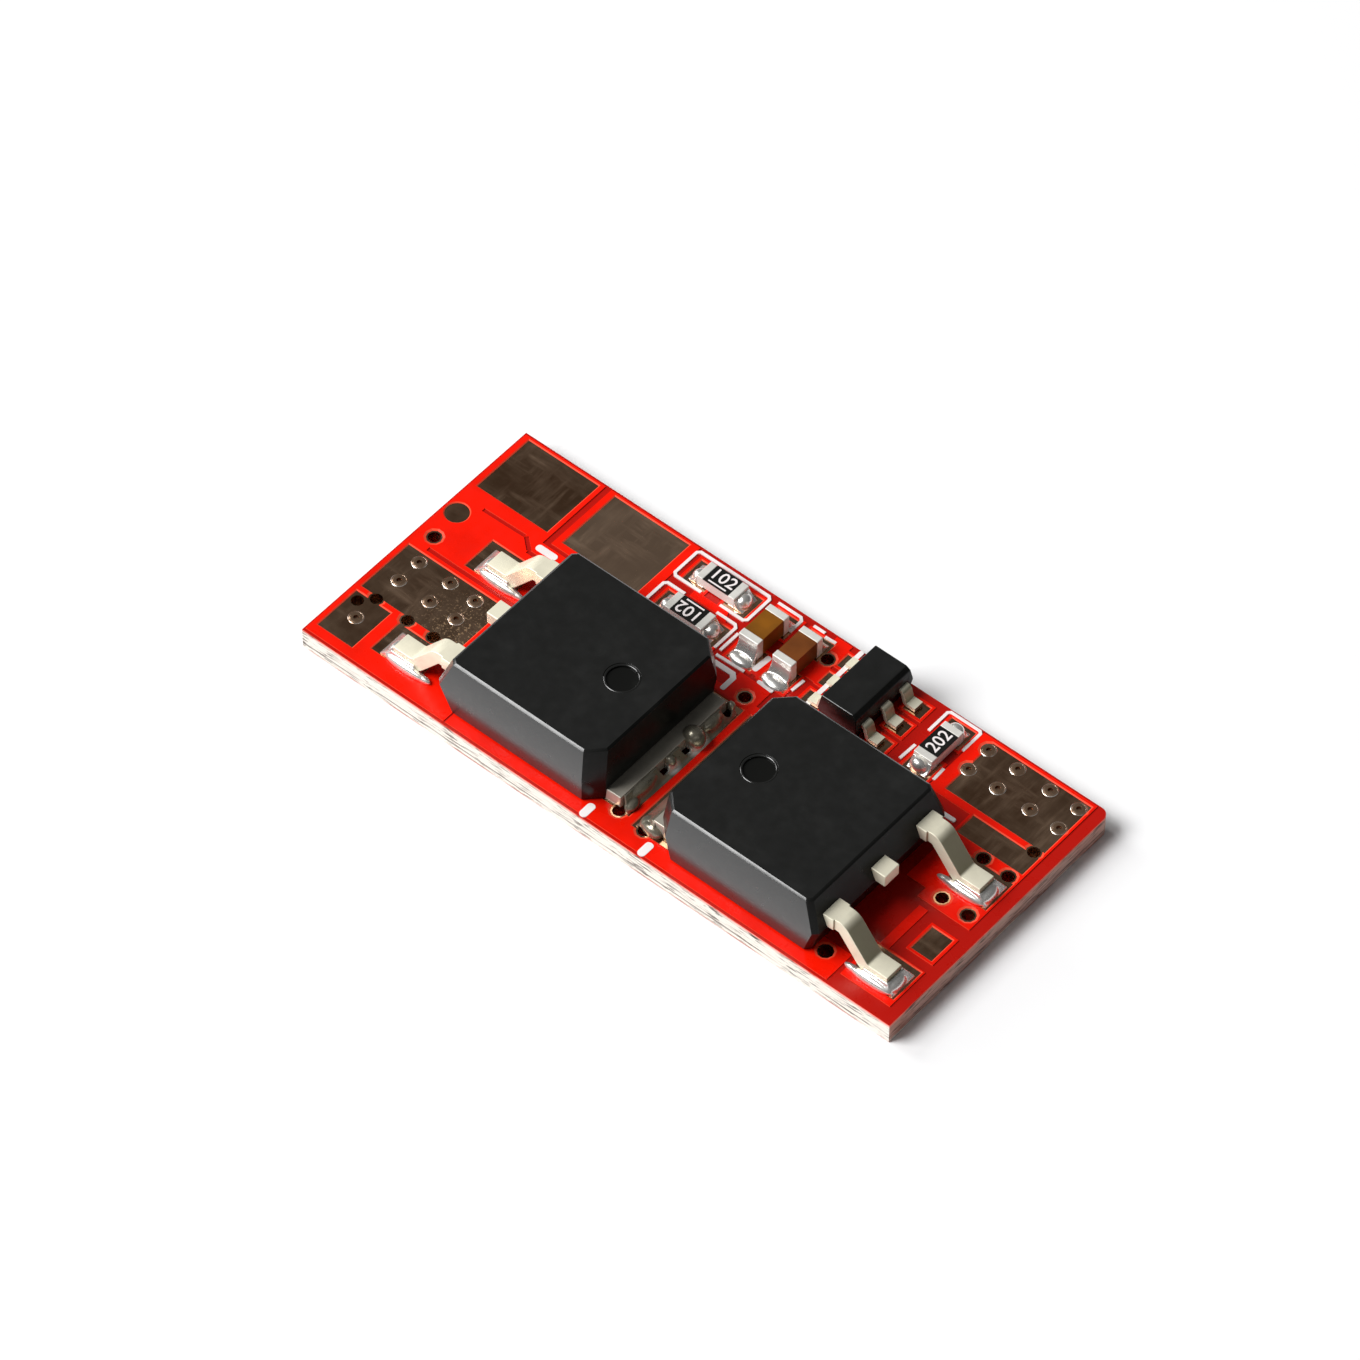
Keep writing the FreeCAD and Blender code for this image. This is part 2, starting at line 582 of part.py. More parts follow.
def fet_tab():
    """Heat tab with the cut-off middle lead: one bent piece of the lead frame."""
    stub_z = Z_SEAT + LEAD_RISE
    inside = -FET_LEAD_END + TAB_INSIDE
    tip = -FET_LEAD_END - STUB_REACH
    plate = Part.makeBox(TAB_OUT - inside, TAB_WIDTH, METAL, V(inside, -TAB_WIDTH / 2, Z_SEAT))
    riser = Part.makeBox(METAL, STUB_WIDTH, LEAD_RISE + METAL, V(inside, -STUB_WIDTH / 2, Z_SEAT))
    stub = Part.makeBox(inside + METAL - tip, STUB_WIDTH, METAL, V(tip, -STUB_WIDTH / 2, stub_z))
    return fuse([plate, riser, stub])


def foot_solder(side, toe_gap, wide):
    """Solder that climbs the foot of a lead; wide is the side with the longer slope."""
    toe = -LEAD_OUT
    foot_y = side * LEAD_PITCH / 2
    half = LEAD_WIDTH / 2
    long_side = foot_y + wide * (LEAD_PAD_NEAR - 0.01)
    spread = sorted((long_side, foot_y - wide * (half + FOOT_GAP_SIDE)))
    low = rect(toe - toe_gap, spread[0], toe + LEAD_FOOT + FOOT_GAP_HEEL, spread[1])
    hug = half + FOOT_HUG
    high = rect(toe - FOOT_HUG, foot_y - hug, toe + LEAD_FOOT + FOOT_GAP_HEEL / 2, foot_y + hug)
    climb = frustum(low, Z_PAD, high, Z_SEAT + FOOT_CLIMB * METAL)
    return cut(climb, [fet_lead(side)])


def tab_solder(fillet, holes, domes):
    """Film under the tab and a low fillet beyond its end, open at the plated holes."""
    half = TAB_WIDTH / 2
    inside = -TAB_SOLDER_INSIDE
    film = Part.makeBox(TAB_OUT - inside, TAB_WIDTH, SOLDER_FILM, V(inside, -half, Z_PAD))
    low = rect(TAB_OUT - 0.10, -half - 0.01, TAB_OUT + fillet, half + 0.20)
    high = rect(TAB_OUT - 0.10, -half, TAB_OUT + FOOT_HUG, half)
    end = frustum(low, Z_PAD, high, Z_PAD + TAB_CLIMB)
    lumps = [film, end]
    for x, y, radius in domes:
        lumps.append(cut(Part.makeSphere(radius, V(x, y, Z_PAD)),
                         [prism(rect_at(x, y, 4, 4), Z_PAD - 2, Z_PAD)]))
    solder = fuse(lumps)
    bores = [bore(x, y, R_HOLE, 0, Z_PAD + 2) for x, y in holes]
    return cut(solder, bores + [fet_tab()])


def on_left(shape):
    """Place a transistor's piece at the left transistor."""
    moved = shape.copy()
    moved.translate(V(FET_LEFT_X, FET_Y, 0))
    return moved


def on_right(shape):
    """Place a transistor's piece at the right transistor, turned end for end."""
    moved = shape.copy()
    moved.rotate(V(0, 0, 0), UP, 180)
    moved.translate(V(FET_RIGHT_X, FET_Y, 0))
    return moved


def fet_body():
    """Moulded body, closed round the leads and the tab."""
    return cut(fet_body_blank(), [fet_lead(-1), fet_lead(1), fet_tab()])


def transistors():
    """All pieces of both transistors with their solder."""
    left_holes = [(x - FET_LEFT_X, y - FET_Y) for x, y in HOLES["drain"]]
    right_holes = [(FET_RIGHT_X - x, FET_Y - y) for x, y in HOLES["drain"]]
    hole_x, hole_y = HOLES["drain"][2]
    left_domes = [(hole_x - FET_LEFT_X, hole_y + DOME_BESIDE - FET_Y, DOME_RADIUS)]
    pieces = {
        "left_transistor_body": on_left(fet_body()),
        "left_transistor_tab": on_left(fet_tab()),
        "left_gate_lead": on_left(fet_lead(1)),
        "left_source_lead": on_left(fet_lead(-1)),
        "left_gate_solder": on_left(foot_solder(1, FOOT_GAP_LEFT, -1)),
        "left_source_solder": on_left(foot_solder(-1, FOOT_GAP_LEFT, -1)),
        "left_tab_solder": on_left(tab_solder(LEFT_TAB_FILLET, left_holes, left_domes)),
        "right_transistor_body": on_right(fet_body()),
        "right_transistor_tab": on_right(fet_tab()),
        "right_source_lead": on_right(fet_lead(-1)),
        "right_gate_lead": on_right(fet_lead(1)),
        "right_source_solder": on_right(foot_solder(-1, FOOT_GAP_RIGHT, 1)),
        "right_gate_solder": on_right(foot_solder(1, FOOT_GAP_RIGHT, 1)),
        "right_tab_solder": on_right(tab_solder(RIGHT_TAB_FILLET, right_holes, [])),
    }
    return pieces


# Controller

def ic_outline(lean):
    """Controller outline with its walls moved in."""
    return rect_at(0, 0, IC_WIDTH - 2 * lean, IC_LENGTH - 2 * lean)


def ic_lead(side, row):
    """One small gull-wing lead of the controller."""
    z0 = Z_PAD + IC_FILM
    rise = IC_STANDOFF + IC_PARTING - IC_FILM + MASK - IC_LEAD_METAL / 2
    length = IC_LEAD_REACH + IC_LEAD_BURIED
    edges = gull_wing(IC_LEAD_FOOT, rise, IC_LEAD_SLOPE, IC_LEAD_BEND, IC_LEAD_BEND,
                      IC_LEAD_METAL, length, z0)
    lead = side_profile(edges, 0, IC_LEAD_WIDTH)
    lead.translate(V(-IC_WIDTH / 2 - IC_LEAD_REACH, 0, 0))
    if side > 0:
        lead.rotate(V(0, 0, 0), UP, 180)
    lead.translate(V(IC_X, IC_Y + row * IC_LEAD_PITCH, 0))
    return lead


def ic_leads():
    """The six leads by name, three on each side."""
    names = {(-1, -1): "near_left", (-1, 0): "middle_left", (-1, 1): "far_left",
             (1, -1): "near_right", (1, 0): "middle_right", (1, 1): "far_right"}
    return {"controller_lead_" + names[key]: ic_lead(*key) for key in names}


def ic_body():
    """Controller body with draft both ways and the long bevel on the right edge."""
    z0 = Z_TOP + IC_STANDOFF
    parting = z0 + IC_PARTING
    top = z0 + IC_HEIGHT
    body = fuse([frustum(ic_outline(IC_DRAFT), z0, ic_outline(0), parting),
                 frustum(ic_outline(0), parting, ic_outline(IC_DRAFT), top)])
    edge = [e for e in body.Edges if abs(e.BoundBox.ZMin - top) < 1e-6
            and abs(e.CenterOfMass.x - IC_WIDTH / 2 + IC_DRAFT) < 1e-6]
    body = body.makeChamfer(IC_BEVEL, edge)
    body.translate(V(IC_X, IC_Y, 0))
    return cut(body, list(ic_leads().values()))


def ic_solder():
    """Six small solder joints, each climbing the end of a foot."""
    joints = []
    leads = list(ic_leads().values())
    for side in (-1, 1):
        toe = IC_X + side * (IC_WIDTH / 2 + IC_LEAD_REACH)
        for row in (-1, 0, 1):
            y = IC_Y + row * IC_LEAD_PITCH
            reach = (toe - side * IC_LEAD_FOOT, toe + side * IC_SOLDER_OUT)
            hug = (toe - side * (IC_LEAD_FOOT - 0.04), toe + side * 0.04)
            low_half = IC_LEAD_WIDTH / 2 + IC_SOLDER_SIDE
            high_half = IC_LEAD_WIDTH / 2 + 0.01
            low = rect(min(reach), y - low_half, max(reach), y + low_half)
            high = rect(min(hug), y - high_half, max(hug), y + high_half)
            joints.append(frustum(low, Z_PAD, high, Z_PAD + IC_FILM + IC_CLIMB * IC_LEAD_METAL))
    return cut(fuse(joints), leads)


# Chip resistors and capacitors, drawn along X with the middle at the origin

def centred_box(dx, dy, z0, z1):
    """Box centred in X and Y."""
    return Part.makeBox(dx, dy, z1 - z0, V(-dx / 2, -dy / 2, z0))


def chip_core(height):
    """The ceramic of a chip, inside its end metal."""
    z0 = Z_PAD + CHIP_FILM
    return centred_box(CHIP_LENGTH - 2 * BAND_METAL, CHIP_WIDTH - 2 * BAND_METAL,
                       z0 + BAND_METAL, z0 + height - BAND_METAL)


def chip_bands(height, band, sides):
    """End metal: a cap on each end, round all faces or only over top and bottom."""
    z0 = Z_PAD + CHIP_FILM
    width = CHIP_WIDTH if sides else CHIP_WIDTH - 2 * BAND_METAL
    block = centred_box(CHIP_LENGTH, width, z0, z0 + height)
    waist = centred_box(CHIP_LENGTH - 2 * band, CHIP_WIDTH * 2, z0 - 1, z0 + height + 1)
    if sides:
        corners = [e for e in block.Edges if e.Length < CHIP_LENGTH - 0.01]
        block = block.makeChamfer(BAND_METAL, corners)
    return cut(block, [waist, chip_core(height)])


def resistor_coat():
    """Dark overcoat on top of a resistor, between its terminals."""
    z0 = Z_PAD + CHIP_FILM + RESISTOR_CORE - BAND_METAL
    length = CHIP_LENGTH - 2 * (RESISTOR_BAND + RESISTOR_COAT_GAP)
    return centred_box(length, CHIP_WIDTH - 2 * BAND_METAL, z0, z0 + RESISTOR_COAT)


def chip_solder(height, near, far):
    """Two hollow solder fillets, each on its own pad and up the end of the chip."""
    joints = []
    top = Z_PAD + CHIP_FILM + height * CHIP_CLIMB
    for sign, reach in ((-1, near), (1, far)):
        end = sign * CHIP_LENGTH / 2
        face = end - sign * CHIP_SOLDER_UNDER
        tip = end + sign * reach
        hollow = V(end + sign * reach * CHIP_HOLLOW, 0, Z_PAD + (top - Z_PAD) * CHIP_HOLLOW)
        edges = [Part.LineSegment(V(face, 0, Z_PAD), V(tip, 0, Z_PAD)).toShape(),
                 Part.Arc(V(tip, 0, Z_PAD), hollow, V(end, 0, top)).toShape(),
                 Part.LineSegment(V(end, 0, top), V(face, 0, top)).toShape(),
                 Part.LineSegment(V(face, 0, top), V(face, 0, Z_PAD)).toShape()]
        joints.append(side_profile(edges, 0, CHIP_WIDTH))
    block = centred_box(CHIP_LENGTH, CHIP_WIDTH, Z_PAD + CHIP_FILM, Z_PAD + CHIP_FILM + height)
    return cut(fuse(joints), [block])


def place_chip(shape, name):
    """Move a chip's piece to its place on the board."""
    x, from_far, turn = CHIP_PLACES[name]
    moved = shape.copy()
    moved.rotate(V(0, 0, 0), UP, turn)
    moved.translate(V(x, FAR - from_far, 0))
    return moved


def resistor_pieces():
    """A resistor's ceramic, overcoat, end metal and solder, by node ending."""
    return {"_ceramic": chip_core(RESISTOR_CORE),
            "_overcoat": resistor_coat(),
            "_terminals": chip_bands(RESISTOR_CORE, RESISTOR_BAND, False),
            "_solder": chip_solder(RESISTOR_CORE, RESISTOR_SOLDER, RESISTOR_SOLDER)}


def capacitor_pieces():
    """A capacitor's ceramic, end metal and solder, by node ending."""
    return {"_ceramic": chip_core(CAPACITOR_HEIGHT),
            "_terminals": chip_bands(CAPACITOR_HEIGHT, CAPACITOR_BAND, True),
            "_solder": chip_solder(CAPACITOR_HEIGHT, CAPACITOR_SOLDER_NEAR, CAPACITOR_SOLDER_FAR)}


def chips():
    """All pieces of the five chips."""
    pieces = {}
    for name in CHIP_PLACES:
        own = resistor_pieces() if name.startswith("resistor") else capacitor_pieces()
        for ending, shape in own.items():
            pieces[name + ending] = place_chip(shape, name)
    return pieces


def board():
    """The bare board: laminate, copper and mask."""
    pieces = {
        "laminate": laminate(),
        "solder_mask_top": mask_top(),
        "solder_mask_bottom": mask_bottom(),
        "copper_signal_islands": copper_layer(signal_copper(), None, Z_COPPER_TOP),
    }
    for name in TOP_NETS:
        pieces["copper_" + name] = copper_net(name)
    return pieces


def main():
    """Build every piece, move it to the origin and write its file."""
    os.makedirs("parts", exist_ok=True)
    pieces = {}
    pieces.update(board())
    pieces.update(transistors())
    pieces.update(chips())
    pieces.update(ic_leads())
    pieces["controller_body"] = ic_body()
    pieces["controller_solder"] = ic_solder()
    for name, shape in pieces.items():
        shape.translate(V(-BOARD_LENGTH / 2, -BOARD_WIDTH / 2, 0))
        shape.exportStep("parts/" + name + ".step")
        print(name, len(shape.Solids), round(shape.Volume, 4), shape.isValid())


main()
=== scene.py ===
import math

import bmesh
import bpy
from bpy.props import FloatProperty, FloatVectorProperty, PointerProperty
from mathutils import Matrix, Vector


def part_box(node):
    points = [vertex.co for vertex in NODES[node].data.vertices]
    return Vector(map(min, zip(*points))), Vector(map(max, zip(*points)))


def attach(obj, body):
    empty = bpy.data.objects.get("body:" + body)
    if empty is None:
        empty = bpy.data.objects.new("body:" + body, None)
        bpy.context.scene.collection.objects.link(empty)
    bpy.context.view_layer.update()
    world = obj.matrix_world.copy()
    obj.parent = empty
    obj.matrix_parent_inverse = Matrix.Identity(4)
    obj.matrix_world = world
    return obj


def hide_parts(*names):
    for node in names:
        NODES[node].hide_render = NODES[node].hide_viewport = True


bl_info = {
    "name": "Battery protection board looks",
    "version": (1, 0, 0),
    "blender": (4, 5, 0),
    "location": "3D View > Sidebar > Board",
    "description": "Finishes, solder, printed legend and studio for a small protection board",
    "category": "Object",
}

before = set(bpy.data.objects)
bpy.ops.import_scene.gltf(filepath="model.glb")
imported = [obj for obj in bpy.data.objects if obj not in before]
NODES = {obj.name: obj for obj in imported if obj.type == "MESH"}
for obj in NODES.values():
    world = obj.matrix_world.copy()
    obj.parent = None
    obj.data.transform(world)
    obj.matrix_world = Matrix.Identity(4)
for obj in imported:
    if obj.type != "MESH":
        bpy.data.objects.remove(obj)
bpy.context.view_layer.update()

MM = 0.001
BOARD_LOW, BOARD_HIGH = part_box("laminate")
LEFT, NEAR = BOARD_LOW.x, BOARD_LOW.y
RIGHT_MM = (BOARD_HIGH.x - LEFT) / MM
FAR_MM = (BOARD_HIGH.y - NEAR) / MM
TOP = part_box("solder_mask_top")[1].z
STEP_DOWN = 0.035 * MM          # the mask lies this much lower where no copper is under it
PAD = TOP - 0.03 * MM           # face of the tinned pads
BODY_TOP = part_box("left_transistor_body")[1].z

EDGE_ANGLE = math.radians(27)   # sharper edges are rounded and stay crisp in the shading
FLAT_ANGLE = math.radians(0.4)  # faces that meet flatter than this become one
SAME_PLACE = 1e-7               # points closer than this, in metres, are one
DIMPLE_INSIDE = 5.05 * MM       # wall at a transistor's leads to its round mark's middle
SOLDER_ROUNDS = 14              # rounds of smoothing that draw solder round
TERMINAL_ROUNDS = 5             # the same for the chips' plated ends
FINE_SHARE = 0.5                # grid on the controller's small joints, as a share
KEPT_SHARE = 0.35               # share of the faces kept where metal was drawn round
MASK_BLUR = 0.002 * MM          # the mask's two reds meet this softly
SENSOR_WIDTH = 36.0             # of the camera, in millimetres
FLOOR_SIZE = 1.6
FLOOR_GAP = 0.02 * MM           # the floor lies this far below the board

# Lamps: direction round the board and height, in degrees, then distance and size in metres
KEY_PLACE = (228, 48, 0.90, 0.51)
SIDE_PLACE = (182, 32, 0.90, 0.30)

# Spots with a look of their own, in millimetres from the near left corner
PALE_PAD = (5.7, 9.2)           # the far middle pad, rubbed paler
SPECKLED_PAD = (3.9, 3.2)       # the stitched pad's corner by the left leads


# Sizes and colours that a user would change

def colour(name, description, default):
    """A colour property, in scene-linear values."""
    return FloatVectorProperty(name=name, description=description, subtype="COLOR", size=3,
                               min=0.0, max=1.0, default=default)


def length(name, description, default_mm):
    """A length property, in metres, with its default given in millimetres."""
    return FloatProperty(name=name, description=description, subtype="DISTANCE", unit="LENGTH",
                         precision=6, default=default_mm * MM)


class BoardColours(bpy.types.PropertyGroup):
    """Colours of the board's finishes."""
    mask_raised: colour("Mask over copper", "Red where copper lies under the mask",
                        (0.97, 0.009, 0.0005))
    mask_sunk: colour("Mask over laminate", "Red where no copper lies under the mask",
                      (0.47, 0.007, 0.003))
    # Painted highlight: the pale colour the mask's slopes and walls take at its windows; the
    # laminate's stained top borrows it too.
    mask_rim: colour("Mask rim", "Thin edge of the mask at its windows", (0.95, 0.085, 0.040))
    laminate: colour("Laminate", "Cut edge of the glass laminate", (0.90, 0.84, 0.76))
    # Partly stain, partly painted shade: the short ends' pinkish brown is darkened to stand in for
    # the shade the board's right end lies in.
    laminate_end_stain_and_shade: colour("Laminate end", "Cut edge at the short ends, stained by the mask",
                         (0.46, 0.20, 0.15))
    fibre: colour("Fibre", "Dark fibre ends in the laminate's edge", (0.05, 0.025, 0.018))
    # Partly painted reflection: the tin and its darker patches are browner and darker than bare
    # tin, standing in for the dark room the pads mirror.
    tin: colour("Tinned copper", "Levelled tin on the pads", (0.60, 0.38, 0.24))
    tin_pale: colour("Tinned copper, pale", "Rubbed streaks and the far pad", (0.98, 0.68, 0.47))
    tin_dark: colour("Tinned copper, dark", "Darker patches in the tin", (0.35, 0.19, 0.105))
    speckle: colour("Speckle", "Grains on the left stitched pad", (0.60, 0.40, 0.22))
    solder: colour("Solder", "Reflowed solder", (0.93, 0.91, 0.87))
    film: colour("Solder film", "Thin solder along the heat tabs", (0.36, 0.33, 0.255))
    lead: colour("Lead frame", "Plated leads", (0.93, 0.88, 0.69))
    # Painted shade: this darker colour goes on the leads' faces turned to the board's right, in
    # place of the shade they lie in.
    lead_shade: colour("Lead frame, dull", "Leads where the bends face the board's right",
                       (0.24, 0.215, 0.135))
    tab: colour("Heat tab", "Tabs wetted by the solder", (0.56, 0.52, 0.44))
    terminal: colour("Chip ends", "Plated ends of the chips", (0.88, 0.86, 0.80))
    moulding: colour("Moulding", "Black moulded bodies", (0.0060, 0.0062, 0.0056))
    overcoat: colour("Overcoat", "Dark glaze of the resistors", (0.007, 0.007, 0.006))
    ceramic: colour("White ceramic", "Body of the resistors", (0.88, 0.87, 0.82))
    capacitor_tan: colour("First capacitor", "Ceramic of the first capacitor", (0.26, 0.09, 0.003))
    capacitor_brown: colour("Second capacitor", "Ceramic of the second capacitor",
                            (0.20, 0.055, 0.008))
    ink: colour("Ink", "White printed legend", (0.97, 0.90, 0.89))


class BoardSizes(bpy.types.PropertyGroup):
    """Sizes of the print, the solder and the rounded edges."""
    line: length("Legend line", "Width of the thin printed lines", 0.108)
    ink_height: length("Ink height", "Height of the ink over the mask", 0.012)
    code_height: length("Code height", "Height of the numbers on the resistors", 0.47)
    solder_voxel: length("Solder voxel", "Grid on which the solder is rounded", 0.022)
    body_round: length("Body round", "Rounding of the moulded bodies' edges", 0.05)
    dimple_radius: length("Dimple radius", "Round mark in the bodies' tops", 0.62)
    rim_round: length("Dimple rounding", "Rounding inside the mark's edge", 0.05)
    rim_depth: length("Dimple rounding depth", "Middle of the rounding, below the top", 0.055)
    lead_round: length("Lead round", "Rounding of the leads' edges", 0.035)
    chip_voxel: length("Chip voxel", "Grid on which the chips' ends are rounded", 0.018)
    plug_radius: length("Plug radius", "Solder that fills a pad's plated hole", 0.222)
    plug_lip: length("Plug lip", "How high the solder stands round a filled hole", 0.026)


class StageSettings(bpy.types.PropertyGroup):
    """Camera, lamps and floor."""
    azimuth: FloatProperty(name="Azimuth", description="Camera's direction round the board",
                           subtype="ANGLE", default=math.radians(-49.78))
    elevation: FloatProperty(name="Elevation", description="Camera's height as an angle",
                             subtype="ANGLE", default=math.radians(50.96))
    roll: FloatProperty(name="Roll", description="Camera's turn about its own axis",
                        subtype="ANGLE", default=math.radians(0.17))
    distance: length("Distance", "Camera to the middle of the board's top", 249.9)
    aside: length("Aside", "How far the board sits right of the picture's middle", 0.71)
    above: length("Above", "How far the board sits above the picture's middle", -1.26)
    lens: FloatProperty(name="Lens", description="Focal length in millimetres on a 36 mm sensor",
                        default=207.1)
    world: FloatProperty(name="World", description="Strength of the light from all round",
                         default=0.105)
    key: FloatProperty(name="Key lamp", description="Power of the large lamp, in watts",
                       default=9.9)
    side: FloatProperty(name="Side lamp", description="Power of the low lamp at the left, in watts",
                        default=2.2)
    floor: colour("Floor", "Colour of the floor", (0.98, 0.98, 0.985))


# Node material helpers

class Shader:
    """A node material under construction."""

    def __init__(self, name):
        self.material = bpy.data.materials.new(name)
        self.material.use_nodes = True
        self.nodes = self.material.node_tree.nodes
        self.links = self.material.node_tree.links
        self.bsdf = self.nodes["Principled BSDF"]
        self.coords = self.nodes.new("ShaderNodeTexCoord").outputs["Object"]

    def set(self, **values):
        """Set constant values on the shader's own sockets; _ stands for a space."""
        for key, value in values.items():
            socket = self.bsdf.inputs[key.replace("_", " ")]
            socket.default_value = (*value, 1.0) if socket.type == "RGBA" else value

    def link(self, source, socket):
        """Join an output to one of the shader's inputs."""
        self.links.new(source, self.bsdf.inputs[socket])

    def mapped(self, scale, location=(0, 0, 0)):
        """Object coordinates, scaled by axis."""
        node = self.nodes.new("ShaderNodeMapping")
        node.inputs["Scale"].default_value = scale
        node.inputs["Location"].default_value = location
        self.links.new(self.coords, node.inputs["Vector"])
        return node.outputs["Vector"]

    def noise(self, scale, detail=3.0, rough=0.5, vector=None):
        """Noise pattern; scale is in waves per metre on plain coordinates."""
        node = self.nodes.new("ShaderNodeTexNoise")
        node.inputs["Scale"].default_value = scale
        node.inputs["Detail"].default_value = detail
        node.inputs["Roughness"].default_value = rough
        self.links.new(vector or self.coords, node.inputs["Vector"])
        return node.outputs["Fac"]

    def axis(self, name, vector=None):
        """One part of a vector, by default of the object coordinates."""
        node = self.nodes.new("ShaderNodeSeparateXYZ")
        self.links.new(vector or self.coords, node.inputs["Vector"])
        return node.outputs[name]

    def normal(self, name):
        """One part of the surface normal."""
        node = self.nodes.new("ShaderNodeNewGeometry")
        return self.axis(name, node.outputs["Normal"])

    def ranged(self, source, low, high, to_low=0.0, to_high=1.0):
        """Map a value from one range to another, clamped."""
        node = self.nodes.new("ShaderNodeMapRange")
        for socket, value in (("From Min", low), ("From Max", high),
                              ("To Min", to_low), ("To Max", to_high)):
            node.inputs[socket].default_value = value
        self.links.new(source, node.inputs["Value"])
        return node.outputs["Result"]

    def math(self, operation, a, b=0.0):
        """Combine two values; b may be a number."""
        node = self.nodes.new("ShaderNodeMath")
        node.operation = operation
        self.links.new(a, node.inputs[0])
        if isinstance(b, (int, float)):
            node.inputs[1].default_value = b
        else:
            self.links.new(b, node.inputs[1])
        return node.outputs[0]

    def blend(self, factor, low, high):
        """Mix two colours, each three numbers or an output, by a factor."""
        node = self.nodes.new("ShaderNodeMix")
        node.data_type = "RGBA"
        self.links.new(factor, node.inputs["Factor"])
        for socket, value in ((node.inputs[6], low), (node.inputs[7], high)):
            if isinstance(value, bpy.types.NodeSocket):
                self.links.new(value, socket)
            else:
                socket.default_value = (*value, 1.0)
        return node.outputs[2]

    def bump(self, height, strength, distance):
        """Raise the surface by a pattern."""
        node = self.nodes.new("ShaderNodeBump")
        node.inputs["Strength"].default_value = strength
        node.inputs["Distance"].default_value = distance
        self.links.new(height, node.inputs["Height"])
        self.link(node.outputs["Normal"], "Normal")
        return self


def dimmed(tone, share):
    """A colour at a share of its brightness."""
    return tuple(part * share for part in tone)


def wear(names, material):
    """Put a material on CAD nodes."""
    for name in names:
        slots = NODES[name].data.materials
        slots.clear()
        slots.append(material)


def nodes_like(*endings):
    """CAD node names that end in one of the given words."""
    return [name for name in sorted(NODES) if name.endswith(endings)]


# Finishes

def mask_finish(colours):
    """Glossy red mask, darker where it lies low, with a painted highlight: paler on its slopes and
    walls at a window.
    """
    shader = Shader("red_mask_top")
    raised = shader.ranged(shader.axis("Z"), TOP - STEP_DOWN + MASK_BLUR, TOP - MASK_BLUR)
    body = shader.blend(raised, colours.mask_sunk, colours.mask_raised)
    deep = dimmed(colours.mask_raised, 0.80)
    cloud = shader.math("MULTIPLY", shader.ranged(shader.noise(700, 4), 0.45, 0.75), raised)
    body = shader.blend(cloud, body, deep)
    tilt = shader.normal("Z")
    # Painted highlight: sloping and upright faces of the mask turn pale.
    slope_highlight = shader.math("MULTIPLY", shader.math("GREATER_THAN", tilt, 0.3),
                          shader.math("LESS_THAN", tilt, 0.97))
    body = shader.blend(slope_highlight, body, colours.mask_rim)
    wall_highlight = shader.ranged(shader.math("ABSOLUTE", tilt), 0.05, 0.2, 1.0, 0.0)
    shader.link(shader.blend(wall_highlight, body, colours.mask_rim), "Base Color")
    shader.link(shader.ranged(shader.noise(1800, 3), 0.3, 0.7, 0.24, 0.36), "Roughness")
    shader.link(shader.ranged(tilt, 0.90, 0.97, 0.03, 0.26), "Specular IOR Level")
    return shader.bump(shader.noise(900, 2), 0.12, 0.03 * MM).material


def laminate_finish(colours):
    """Cut glass laminate: pale with dark broken fibre lines, stained at its top, and pinker and
    darker at its short ends, partly stain and partly painted shade.
    """
    shader = Shader("glass_laminate")
    fibres = shader.noise(1.0, 5, 0.62, shader.mapped((1250, 1250, 18000)))
    patches = shader.ranged(shader.noise(900, 3), 0.40, 0.56, 0.25, 1.0)
    dashes = shader.math("MULTIPLY", shader.ranged(fibres, 0.54, 0.57), patches)
    # The short ends take the stained colour, darkened as painted shade.
    end = shader.math("ABSOLUTE", shader.normal("X"))
    stain = shader.ranged(shader.noise(600, 4), 0.3, 0.7, 0.75, 1.0)
    end = shader.math("MULTIPLY", shader.ranged(end, 0.4, 0.6), stain)
    body = shader.blend(end, colours.laminate, colours.laminate_end_stain_and_shade)
    height = shader.axis("Z")
    top_stain = shader.ranged(height, BOARD_HIGH.z - 0.14 * MM, BOARD_HIGH.z, 0.0, 0.7)
    body = shader.blend(top_stain, body, colours.mask_rim)
    line_low, line_high, blur = BOARD_LOW.z + 0.145 * MM, BOARD_LOW.z + 0.165 * MM, 0.02 * MM
    line = shader.math("MULTIPLY", shader.ranged(height, line_high, line_high + blur, 1.0, 0.0),
                       shader.ranged(height, line_low - blur, line_low))
    line = shader.math("MULTIPLY", line, shader.ranged(shader.noise(500, 4), 0.36, 0.50))
    body = shader.blend(line, body, colours.fibre)
    shader.link(shader.blend(dashes, body, colours.fibre), "Base Color")
    shader.set(Roughness=0.62)
    return shader.bump(fibres, 0.5, 0.03 * MM).material


def under_mask_finish(colours):
    """Red mask of the underside; its thin cut edge shows as pale as the laminate."""
    shader = Shader("red_mask_bottom")
    facing = shader.math("ABSOLUTE", shader.normal("Z"))
    cloud = shader.ranged(shader.noise(700, 4), 0.3, 0.7)
    deep = dimmed(colours.mask_raised, 0.85)
    red = shader.blend(cloud, deep, colours.mask_raised)
    # The bottom mask's cut edge mixes in the same stained, shade-darkened end colour in patches.
    edge = shader.blend(shader.ranged(shader.noise(520, 4), 0.42, 0.58), colours.laminate,
                        colours.laminate_end_stain_and_shade)
    shader.link(shader.blend(shader.ranged(facing, 0.1, 0.4), edge, red), "Base Color")
    shader.link(shader.ranged(cloud, 0.0, 1.0, 0.26, 0.36), "Roughness")
    return shader.bump(shader.noise(5200, 2), 0.10, 0.01 * MM).material


